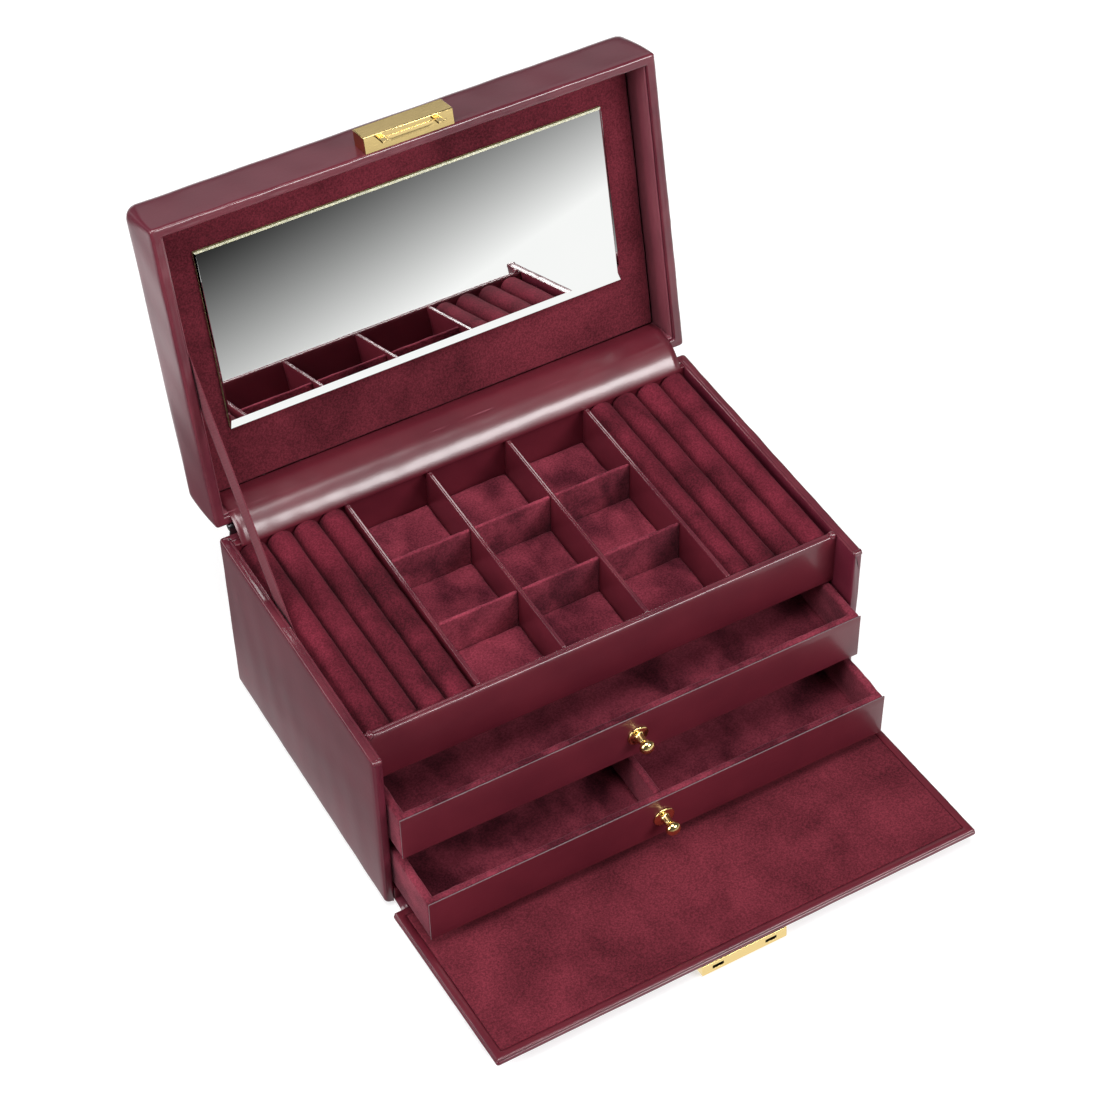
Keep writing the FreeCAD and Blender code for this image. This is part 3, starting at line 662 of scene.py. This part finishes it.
def corner_curls():
    """Where the skin is folded in at the front top corners it ends in a small tight curl."""
    turns = np.linspace(0, 2 * math.pi * 1.35, 30)
    inset = 0.35 * MM
    for word, low, high in (("left", LEFT_LOW, LEFT_HIGH), ("right", RIGHT_LOW, RIGHT_HIGH)):
        y, z = low.y + 1.6 * MM, RIM - 1.45 * MM
        line = [(y - (1.45 - 0.12 * t) * MM * math.cos(t - 0.6),
                 z + (1.45 - 0.12 * t) * MM * math.sin(t - 0.6)) for t in turns]
        x_low, x_high = low.x + inset, high.x - inset
        curl = bent_sheet("corner_curl_" + word, line, x_low, x_high, 0.4, EDGE, step=1.2)
        wrinkle(curl, 0.08, 2.5, seed=17)
        place(curl, "case", "outer_leather")
        knot = soft_box(
            "corner_knot_" + word, (x_low, low.y - 0.15 * MM, RIM - 2.3 * MM),
            (x_high, low.y + 2.4 * MM, RIM + 0.28 * MM), 1.0, EDGE, step=0.7)
        wrinkle(knot, 0.05, 2.0, seed=18)
        place(knot, "case", "outer_leather")


def wall_puckers():
    """Gathered leather at both ends of the tray's front wall."""
    low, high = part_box("tray_front_wall")
    for word, x_low, x_high in (("left", low.x + 0.2 * MM, low.x + 3.8 * MM),
                                ("right", high.x - 3.8 * MM, high.x - 0.2 * MM)):
        pucker = soft_box(
            "wall_pucker_" + word, (x_low, low.y - 0.25 * MM, high.z - 2.4 * MM),
            (x_high, high.y - 0.2 * MM, high.z + 1.5 * MM), 1.4, EDGE, step=0.7, arc=4)
        wrinkle(pucker, 0.22, 2.2, seed=19)
        place(pucker, "case", "smooth_leather")


def two_roll_profile(thick, bottom, top, **millimetres):
    """A wall whose top has a roll along each side and a shallow groove between them."""
    front, back, dip, foot = (millimetres[k] * MM for k in ("front", "back", "dip", "foot"))
    far_top = top - back - 0.05 * MM
    first = arc_at((front, top - front), front, 180, 62, 6)
    second = arc_at((thick - back, far_top), back, 118, 0, 6)
    groove = (first[-1][0] + second[0][0]) / 2
    outer = between((0, bottom + foot), (0, top - front), 9)
    inner = between((thick, far_top), (thick, bottom + foot), 9)
    base = arc_at((foot, bottom + foot), foot, 270, 180, 4)
    end = arc_at((thick - foot, bottom + foot), foot, 360, 270, 4)
    return base + outer + first + [(groove, top - dip)] + second + inner + end


def tray_front_wall():
    low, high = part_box("tray_front_wall")
    profile = two_roll_profile(
        high.y - low.y, low.z, high.z, front=1.15, back=0.95, dip=0.85, foot=1.0)
    path = tapered((low.x, low.y), (high.x, low.y), (0, -1), 0.5, 3.5)
    wall = sweep("tray_front_leather", path, profile, INNER)
    paint(wall, EDGE, lambda face: face.normal.z > 0.15 and
          face.center.z > high.z - 1.2 * MM)
    near_rim = near(high.z, 1.6)

    def gather(points):
        """Folds along the rim, only at the wall's two ends."""
        return near_rim(points) * np.exp(-((high.x - np.abs(points[:, 0])) / (5 * MM)) ** 2)

    wrinkle(wall, 0.06, 7, seed=21, mask=near_rim)
    wrinkle(wall, 0.40, 3.2, seed=22, mask=gather)
    wrinkle(wall, 0.07, 24, seed=23)
    place(wall, "case", "smooth_leather", "tray_front_wall")


def tray_back_wall():
    wall = soft_box("tray_back_leather", *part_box("tray_back_wall"), 0.6, INNER)
    wrinkle(wall, 0.06, 20, seed=24)
    place(wall, "case", "smooth_leather", "tray_back_wall")


def tray_dividers():
    corner = 3.2 * MM
    for number in range(1, 5):
        node = "tray_divider_%d" % number
        low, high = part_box(node)

        def rounded_back(x, y, depth, height):
            run = max(0.0, corner - (high.y - y))
            drop = corner - math.sqrt(max(corner ** 2 - run ** 2, 0.0))
            share = (height - low.z) / (high.z - low.z)
            return height - drop * share ** 3

        profile = two_roll_profile(
            high.x - low.x, low.z, high.z, front=0.55, back=0.55, dip=0.30, foot=0.3)
        path = tapered((low.x, low.y), (low.x, high.y), (-1, 0), 0.3, 2.5)
        wall = sweep("divider_leather_%d" % number, path, profile, INNER, lift=rounded_back)
        paint(wall, EDGE, lambda face: face.center.z > high.z - 0.55 * MM)
        wrinkle(wall, 0.05, 6, seed=30 + number, mask=near(high.z, 1.2))
        wrinkle(wall, 0.05, 22, seed=40 + number)
        place(wall, "case", "smooth_leather", node)


def cross_dividers():
    for number, (low, high) in enumerate(boxes_in("cross_dividers"), start=1):
        wall = soft_box("cross_velour_%d" % number, low, high, 0.95, VELOUR, step=2.5)
        near_top = lambda p: np.clip((p[:, 2] - low.z) / (high.z - low.z), 0, 1) ** 2
        wrinkle(wall, 0.22, 18, seed=50 + number, mask=near_top)
        place(wall, "case", "velour", "cross_dividers")


def cell_pads():
    for number, (low, high) in enumerate(boxes_in("cell_pads"), start=1):
        pad = soft_box("cell_pad_%d" % number, low, high, 1.3, VELOUR, step=2.5, arc=4, crown=0.7)
        wrinkle(pad, 0.25, 16, seed=60 + number)
        place(pad, "case", "velour", "cell_pads")


def ring_rolls():
    for word, first_seed in (("left", 80), ("right", 70)):
        for number in range(1, 5):
            node = "ring_roll_%s_%d" % (word, number)
            low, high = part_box(node)
            radius = (high.x - low.x) / 2
            wide, top = 2 * radius, high.z - radius
            crown = arc_at((radius, top), radius, 180, 0, 19)
            left = between((0, low.z), (0, top), 4)
            right = between((wide, top), (wide, low.z), 4)
            profile = [(0, low.z)] + left + crown + right + [(wide, low.z)]
            path = tapered((low.x, low.y), (low.x, high.y), (-1, 0), 1.3, 3.0)
            roll = sweep("ring_roll_velour_%s_%d" % (word, number), path, profile, VELOUR_ROLL)
            wrinkle(roll, 0.16, 30, seed=first_seed + number)
            place(roll, "case", "velour", node)


# ---- drawers

COVER = 0.65 * MM    # the leather on a drawer's front


def drawer_box(drawer, number):
    """Card box wrapped in velour, which also covers the front board behind its leather."""
    low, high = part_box(drawer + "_box")
    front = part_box(drawer + "_face")[0].y + COVER
    wall, roll = 4.6 * MM, 1.9 * MM
    floor, top, foot = low.z + 2.6 * MM, high.z - roll, roll * 0.6
    profile = [(3 * MM, low.z)]
    profile += arc_at((foot, low.z + foot), foot, 270, 180, 4)
    profile += between((0, low.z + roll), (0, top), 8)
    profile += arc_at((roll, top), roll, 180, 90, 6) + arc_at((wall - roll, top), roll, 90, 0, 6)
    profile += between((wall, top), (wall, floor), 7) + [(wall, floor)]
    path = RingPath((low.x, front), (high.x, high.y), 4, lambda z: 1.6 * MM)
    shell = sweep(
        drawer + "_velour", path, profile, VELOUR_TRAY, ring=True, loop=False, caps=(0, -1))
    wrinkle(shell, 0.18, 9, seed=90 + number, mask=near(high.z, 3))
    place(shell, drawer, "velour", drawer + "_box")


def drawer_front(drawer, number):
    """The leather front with its cut edge showing all round."""
    low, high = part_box(drawer + "_face")
    high = (high.x, low.y + COVER, high.z + 0.25 * MM)
    front = soft_box(drawer + "_leather", low, high, 0.12, INNER, step=5, arc=2)
    paint(front, CUT_EDGE, lambda face: abs(face.normal.y) < 0.75)
    wrinkle(front, 0.05, 30, seed=95 + number)
    place(front, drawer, "smooth_leather", drawer + "_face")


def drawer_pads(drawer, number):
    inset = Vector((1.2 * MM, 1.2 * MM, 0))
    for index, (low, high) in enumerate(boxes_in(drawer + "_pad"), start=1):
        pad = soft_box(
            "%s_pad_%d" % (drawer, index), low + inset, high - inset, 0.65, VELOUR_TRAY, crown=0.8)
        wrinkle(pad, 0.20, 35, seed=100 + 10 * number + index)
        place(pad, drawer, "velour", drawer + "_pad")


def knob(word):
    """Turned brass knob: thin flange, slim neck and domed head."""
    low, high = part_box(word + "_knob")
    length = high.y - low.y
    flange = (high.x - low.x) / 2
    profile = [(0.5 * MM, 0), (flange - 0.35 * MM, 0.0)]
    profile += [(flange + 0.35 * MM * math.cos(a) - 0.35 * MM, 0.5 * MM + 0.5 * MM * math.sin(a))
                for a in np.radians([-60, -30, 0, 30, 60])]
    # shank: (radius, distance from the drawer's front); head: (distance from the tip, radius)
    shank = [(5.0, 1.08), (3.6, 1.18), (2.9, 1.3), (2.6, 1.6), (2.45, 2.4), (2.3, 4.0), (2.15, 6.0)]
    head = [(6.2, 2.1), (5.6, 2.2), (5.25, 2.7), (4.9, 3.35), (4.3, 3.85), (3.5, 4.1),
            (2.7, 4.1), (1.9, 3.85), (1.1, 3.2), (0.5, 2.3), (0.15, 1.2), (0.0, 0.02)]
    profile += [(radius * MM, along * MM) for radius, along in shank]
    profile += [(radius * MM, length - back * MM) for back, radius in head]
    piece = lathe(word + "_knob_brass", profile, BRASS, (0, high.y, (low.z + high.z) / 2))
    place(piece, word + "_drawer", "polished_brass", word + "_knob")


def drawer_divider():
    wall = soft_box(
        "drawer_divider_velour", *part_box("lower_drawer_divider"), 1.7, VELOUR_TRAY, step=3, arc=4)
    wrinkle(wall, 0.15, 14, seed=120)
    place(wall, "lower_drawer", "velour", "lower_drawer_divider")


# ---- lid

def lid():
    low, high = shut_box("lid_cover")
    lining_low, _ = shut_box("lid_wall_lining")
    middle, half = (low + high) / 2, (high - low) / 2
    wall = lining_low.x - low.x
    top_round, roll, lip = 9.5 * MM, 1.6 * MM, 0.8 * MM
    inside = low.z + 20 * MM
    profile = [(wall, inside)] + between((wall, inside), (wall, low.z + 0.9 * MM), 7)
    profile += arc_at((wall - lip, low.z + 0.9 * MM), lip, 0, -90, 4)
    profile += [(wall - 2.0 * MM, low.z + 0.18 * MM), (roll + 1.0 * MM, low.z + 0.14 * MM)]
    profile += arc_at((roll, low.z + roll), roll, 270, 180, 6)
    profile += between((0, low.z + roll), (0, high.z - top_round), 9)
    profile += arc_at((top_round, high.z - top_round), top_round, 180, 90, 13)
    profile.append((top_round + 2.5 * MM, high.z))
    rise = (high.z - top_round) - low.z

    def padded_top(x, y, depth, z):
        u, v = (x - middle.x) / half.x, (y - middle.y) / half.y
        dome = max(0.0, 1 - u ** 4) * max(0.0, 1 - v ** 4)
        share = max(0.0, (z - low.z) / (high.z - low.z))
        return z + 1.4 * MM * dome * share ** 3

    def up_the_side(z):
        """From 0 at the rim to 1 where the top begins to round."""
        return min(max((z - low.z) / rise, 0.0), 1.0)

    path = RingPath((low.x, low.y), (high.x, high.y), 3.6,
                    lambda z: (1.6 + 5.4 * up_the_side(z) ** 2) * MM)
    piece = sweep(
        "lid_leather", path, profile, OUTER, ring=True, loop=False, caps=(-1,), lift=padded_top)
    paint(piece, EDGE, lambda face: face.center.z < low.z + 1.3 * MM)
    for vertex in piece.data.vertices:
        swell = 1.4 * MM * up_the_side(vertex.co.z)
        vertex.co.x += swell * (vertex.co.x - middle.x) / half.x
    piece.data.transform(LID_OPENED)
    back = np.array(LID_OPENED.inverted())

    def near_rim(points):
        return near(low.z, 2.2)(points @ back[:3, :3].T + back[:3, 3])

    wrinkle(piece, 0.13, 30, seed=131)
    wrinkle(piece, 0.10, 5, seed=132, mask=near_rim)
    place(piece, "lid", "outer_leather", "lid_cover", "lid_frame", "lid_top_board")


def lid_lining():
    """Dark leather inside the lid's walls; its colour is painted lighter than the other lining, to
    make up for the shade the walls lie in.
    """
    low, high = shut_box("lid_wall_lining")
    start, end, thick = low.z + 1.6 * MM, low.z + 24 * MM, 0.8 * MM
    profile = [(0.02 * MM, end), (0.02 * MM, start + 0.2 * MM), (thick * 0.5, start),
               (thick, start + 0.5 * MM), (thick, start + 8 * MM), (thick, end)]
    path = RingPath((low.x, low.y), (high.x, high.y), 4, lambda z: 0.0)
    piece = sweep("lid_lining_leather", path, profile, LINING_PAINTED_LIGHTER, ring=True, opened=LID_OPENED)
    wrinkle(piece, 0.05, 18, seed=141)
    place(piece, "lid", "smooth_leather", "lid_wall_lining")


def lid_panel():
    panel = soft_box(
        "lid_panel_velour", *shut_box("lid_panel"), 1.4, VELOUR_LID, step=3.5, arc=4,
        opened=LID_OPENED)
    wrinkle(panel, 0.12, 40, seed=145)
    place(panel, "lid", "velour", "lid_panel")


def mirror():
    """Silvered glass with a ground bevel; the plate's side shows green glass."""
    low, high = shut_box("mirror")
    thin, wide = 1.1 * MM, 4.2 * MM
    face = low.z + 0.45 * MM

    def ring(side, near_edge, far_edge, z_near, z_far):
        left, right = low.x + side, high.x - side
        front, rear = low.y + near_edge, high.y - far_edge
        return [(left, front, z_near), (right, front, z_near), (right, rear, z_far),
                (left, rear, z_far)]

    vertices = ring(0, 0, 0, high.z, high.z) + ring(0, 0, 0, face + thin * 0.4, low.z)
    vertices += ring(thin, thin, wide, face, face)
    faces = [(base + k, base + (k + 1) % 4, base + 4 + (k + 1) % 4, base + 4 + k)
             for base in (0, 4) for k in range(4)]
    faces += [(8, 9, 10, 11), (0, 1, 2, 3)]
    plate = make("mirror_plate", vertices, faces, SILVER, smooth=False)
    paint(plate, GLASS_EDGE, lambda face: abs(face.normal.z) < 0.97)
    plate.data.transform(LID_OPENED)
    place(plate, "lid", "mirror_glass", "mirror")


# ---- sheets between two bodies

def joining(obj, node):
    """For a sheet that goes from one body to another: hide its CAD node and bake the sheet's place
    into its mesh.
    """
    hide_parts(node)
    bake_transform(obj)


def gusset():
    """The leather that covers the hinge inside, from the tray's back wall into the lid."""
    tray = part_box("tray_back_wall")[0].y
    low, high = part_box("hinge_gusset")
    lid_low, lid_high = shut_box("lid_wall_lining")

    def in_lid(depth, away=0.0):
        point = LID_OPENED @ Vector((0, lid_high.y - 1.2 * MM - away, lid_low.z + depth))
        return (point.y, point.z)

    # up from the tray's edge and over the hinge: (back from the tray, above the rim)
    over = ((-0.5, -1.3), (-0.1, 0.2), (2.2, 3.8), (5.4, 7.2), (9.8, 10.0), (14.9, 10.8))
    knots = [(tray + back * MM, RIM + up * MM) for back, up in over]
    line = smooth_curve(knots + [in_lid(11 * MM, 1.2 * MM), in_lid(19.6 * MM)], 52)
    sheet = bent_sheet("gusset_leather", line, low.x, high.x, 0.9, SOFT, step=3.5)
    wrinkle(sheet, 0.10, 14, seed=151)
    joining(sheet, "hinge_gusset")


def ribbon():
    """The ribbon that stops the lid, glued to the left wall and to the lid's side."""
    points = np.array([v.co for v in frame["nodes"]["lid_stay_ribbon"].data.vertices])
    middle = points.mean(0)
    flat = points[:, 1:] - middle[1:]
    along, across = np.linalg.svd(flat, full_matrices=False)[2]
    if along[1] < 0:
        along = -along
    half_long, half_wide = (np.abs(flat @ way).max() for way in (along, across))
    rows, columns = 46, 6
    stride = columns + 1
    vertices = []
    for side in (points[:, 0].min(), points[:, 0].max()):
        for i in range(rows + 1):
            t = 2 * i / rows - 1
            for j in range(columns + 1):
                w = 2 * j / columns - 1
                y, z = middle[1:] + along * t * half_long + across * w * half_wide
                cup = 0.35 * MM * (1 - w * w) * (1 - t * t)
                vertices.append((side + cup, y, z))
    total = (rows + 1) * stride
    faces = []
    for i in range(rows):
        for a in range(i * stride, i * stride + columns):
            quad = (a, a + 1, a + stride + 1, a + stride)
            faces += [quad, tuple(total + quad[k] for k in (0, 3, 2, 1))]
    rim = [(i * stride, (i + 1) * stride) for i in range(rows)]
    rim += [(rows * stride + j, rows * stride + j + 1) for j in range(columns)]
    rim += [((i + 1) * stride + columns, i * stride + columns) for i in range(rows)]
    rim += [(j + 1, j) for j in range(columns)]
    faces += [(a, b, total + b, total + a) for a, b in rim]
    strip = make("stay_ribbon", vertices, faces, RIBBON)
    joining(
        strip, "lid_stay_ribbon")


def flap_hinge_strip():
    """The leather that joins the flap to the base."""
    low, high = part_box("flap_hinge_strip")
    line = smooth_curve([(high.y, low.z + 0.9 * MM), (high.y - 4.4 * MM, low.z + 0.8 * MM),
                         (low.y, low.z + 0.4 * MM), (low.y - 0.9 * MM, low.z - 0.1 * MM)], 16)
    strip = bent_sheet("flap_hinge_leather", line[::-1], low.x, high.x, 0.9, OUTER, step=5)
    wrinkle(strip, 0.08, 9, seed=165)
    joining(strip, "flap_hinge_strip")


# ---- flap

def flap():
    low, high = shut_box("flap_panel", FLAP_OPENED)
    field_low, field_high = shut_box("flap_lining", FLAP_OPENED)
    board = soft_box(
        "flap_leather", low, (high.x, field_low.y, high.z), 1.45, OUTER, arc=5, opened=FLAP_OPENED)
    wrinkle(board, 0.08, 22, seed=161)
    place(board, "flap", "outer_leather", "flap_panel")

    # the border is swept lying down and then stood up
    border, thick = field_low.x - low.x, high.y - field_low.y
    profile = [(1.2 * MM, 0.0), (0.5 * MM, thick * 0.35), (0.9 * MM, thick * 0.8),
               (1.7 * MM, thick), (border - 0.55 * MM, thick), (border, thick - 0.5 * MM),
               (border, 0.0)]
    path = RingPath((low.x, low.z), (high.x, high.z), 4, lambda z: 1.0 * MM)
    edge = sweep("flap_border_leather", path, profile, INNER, ring=True)
    rim = 1.5 * MM
    paint(edge, EDGE, lambda face: abs(face.center.x) > -(low.x + rim) or
          not low.z + rim <= face.center.y <= high.z - rim)
    edge.data.transform(Matrix(((1, 0, 0, 0), (0, 0, 1, field_low.y), (0, 1, 0, 0), (0, 0, 0, 1))))
    edge.data.flip_normals()
    edge.data.transform(FLAP_OPENED)
    wrinkle(edge, 0.10, 6, seed=162)
    place(edge, "flap", "outer_leather", "flap_panel")

    trim = np.array((0.2, 0.1, 0.2)) * MM
    field = soft_box(
        "flap_velour", np.array(field_low) + trim, np.array(field_high) - trim, 0.6, VELOUR_LID,
        arc=4, opened=FLAP_OPENED)
    wrinkle(field, 0.08, 32, seed=163)
    place(field, "flap", "velour", "flap_lining")


# ---- metal and small CAD parts

def lock_rail():
    """The thin raised strip between the two hooks on the lid's lock."""
    low, high = shut_box("lid_lock_case")
    hooks_low, hooks_high = shut_box("lid_lock_hooks")
    inset = 5.2 * MM
    middle = (low.y + high.y) / 2
    rail = soft_box(
        "lid_lock_rail", (hooks_low.x + inset, middle - 1.5 * MM, low.z - 0.25 * MM),
        (hooks_high.x - inset, middle + 1.7 * MM, low.z + 0.2 * MM), 0.12, BRASS, step=3, arc=2,
        opened=LID_OPENED)
    place(rail, "lid", "polished_brass")


def hard_parts():
    """CAD nodes kept as they are: a finish and, where given, a bevel in millimetres."""
    for material, bevel, *nodes in (
            (FELT, 0.8, "plinth"),
            (INNER, 0.5, "base_board", "drawer_shelf"),
            (VELOUR, 0, "bay_linings", "tray_floor", "ring_beds"),
            (BOARD, 0, "lid_filler"),
            (STEEL, 0, "hinge_leaf_case", "hinge_leaf_lid", "hinge_pin"),
            (STEEL, 0.1, "bolt_spring", "lock_bolt", "upper_knob_screw", "lower_knob_screw"),
            (BRASS, 0.22, "lid_lock_case"), (BRASS, 0.1, "lid_lock_plate"),
            (BRASS, 0.25, "lid_lock_hooks"), (BRASS, 0.2, "flap_lock_case"),
            (BRASS, 0.3, "lock_button"),
            (OUTER, 0.35, "hinge_cover_case", "hinge_cover_lid")):
        for node in nodes:
            obj = frame["nodes"][node]
            obj.data.materials.clear()
            obj.data.materials.append(material)
            if bevel:
                edge_bevel(obj, bevel)


# ---- floor, light, camera

WHITE = (1, 1, 1, 1)
GREY = (0.5, 0.5, 0.5, 1)


def plane(name, size, height, material):
    bpy.ops.mesh.primitive_plane_add(size=size, location=(0, 0, height))
    made = bpy.context.object
    made.name = name
    made.data.materials.append(material)
    return made


def stage():
    s = Surface("studio_floor", Roughness=0.85, Specular_IOR_Level=0.1, Base_Color=GREY,
                Emission_Color=WHITE, Emission_Strength=0.6)
    plane("floor", 60, 0, s.material)


def area_light(name, place_at, size, watts, look_at=(0, 0, 0.1)):
    data = bpy.data.lights.new(name, "AREA")
    data.shape = "RECTANGLE"
    data.size, data.size_y = size
    data.energy = watts
    lamp = add_object(name, data)
    lamp.location = place_at
    toward = Vector(look_at) - lamp.location
    lamp.rotation_euler = toward.to_track_quat("-Z", "Y").to_euler()


def lights():
    world = bpy.context.scene.world = bpy.data.worlds.new("studio")
    world.use_nodes = True
    sky = world.node_tree.nodes["Background"].inputs
    sky["Color"].default_value = WHITE
    sky["Strength"].default_value = 0.10
    area_light("overhead", (-0.3, -0.3, 1.8), size=(1.3, 0.9), watts=28)
    area_light("key", (0.85, -1.65, 1.22), size=(1.0, 0.6), watts=32)
    area_light("left_bank", (-1.6, -0.1, 0.8), size=(0.9, 1.1), watts=22)
    area_light("back_bank", (0.70, 2.1, 1.2), size=(1.8, 0.7), watts=2.4, look_at=(0, 0, 0.2))
    area_light("rim_bank", (-1.5, 1.4, 0.85), size=(0.8, 0.6), watts=4)


def painted_reflection_card():
    """A glowing graded sheet on the floor that only reflections see: a painted reflection, dark to
    the front and left.
    """
    s = Surface("painted_reflection_card")
    s.tree.nodes.remove(s.shader)
    x, y, _ = s.node("SeparateXYZ", {0: s.coords}).outputs
    slope = s.maths("MULTIPLY_ADD", y, 2.38, s.maths("MULTIPLY_ADD", x, 1.26, 1.64),
                    use_clamp=True)
    near_part = s.maths("POWER", slope, 2.2)
    far_part = s.ramp(y, -0.74, -0.82)
    # behind the case both steps down to the left start further left
    beside = s.maths("ADD", x, s.ramp(y, 0.23, 0.36, to_high=0.165))
    left = s.ramp(beside, -0.10, -0.16, to_low=1.0, to_high=0.20)
    further_left = s.ramp(beside, -0.18, -0.23, to_low=1.0, to_high=0.35)
    bright = s.maths("MULTIPLY", s.maths("MAXIMUM", near_part, far_part), left)
    glow = s.node("Emission", {"Strength": s.maths("MULTIPLY", bright, further_left)})
    surface = s.tree.nodes["Material Output"].inputs["Surface"]
    s.tree.links.new(glow.outputs[0], surface)
    card = plane("painted_reflection_card", 6, 0.3 * MM, s.material)
    for ray in ("camera", "diffuse", "transmission", "volume_scatter", "shadow"):
        setattr(card, "visible_" + ray, False)


def colour():
    """Plain display colours, so that the pale floor shows as white."""
    bpy.context.scene.view_settings.view_transform = "Standard"


def camera():
    """At the photograph's viewing angle, with a long lens and a slight roll."""
    yaw, pitch, roll = (math.radians(angle) for angle in (28.81, 46.0, -1.093))
    forward = Vector((math.sin(yaw) * math.cos(pitch), math.cos(yaw) * math.cos(pitch),
                      -math.sin(pitch)))
    level = forward.cross(Vector((0, 0, 1))).normalized()
    upright = level.cross(forward)
    right = level * math.cos(roll) + upright * math.sin(roll)
    up = -level * math.sin(roll) + upright * math.cos(roll)
    eye = bpy.context.scene.camera = add_object("camera", bpy.data.cameras.new("camera"))
    eye.data.lens, eye.data.sensor_width = 90.1, 36
    axes = Matrix((right, up, -forward)).transposed().to_4x4()
    eye.matrix_world = Matrix.Translation((-0.4672, -0.8607, 1.1235)) @ axes


colour()
camera()
stage()
lights()
painted_reflection_card()
body_leather()
corner_curls()
tray_front_wall()
wall_puckers()
tray_back_wall()
tray_dividers()
cross_dividers()
cell_pads()
ring_rolls()
for drawer_number, drawer_word in enumerate(("upper", "lower"), start=1):
    for build in (drawer_box, drawer_front, drawer_pads):
        build(drawer_word + "_drawer", drawer_number)
    knob(drawer_word)
drawer_divider()
lid()
lid_lining()
lid_panel()
mirror()
gusset()
ribbon()
flap()
flap_hinge_strip()
lock_rail()
hard_parts()
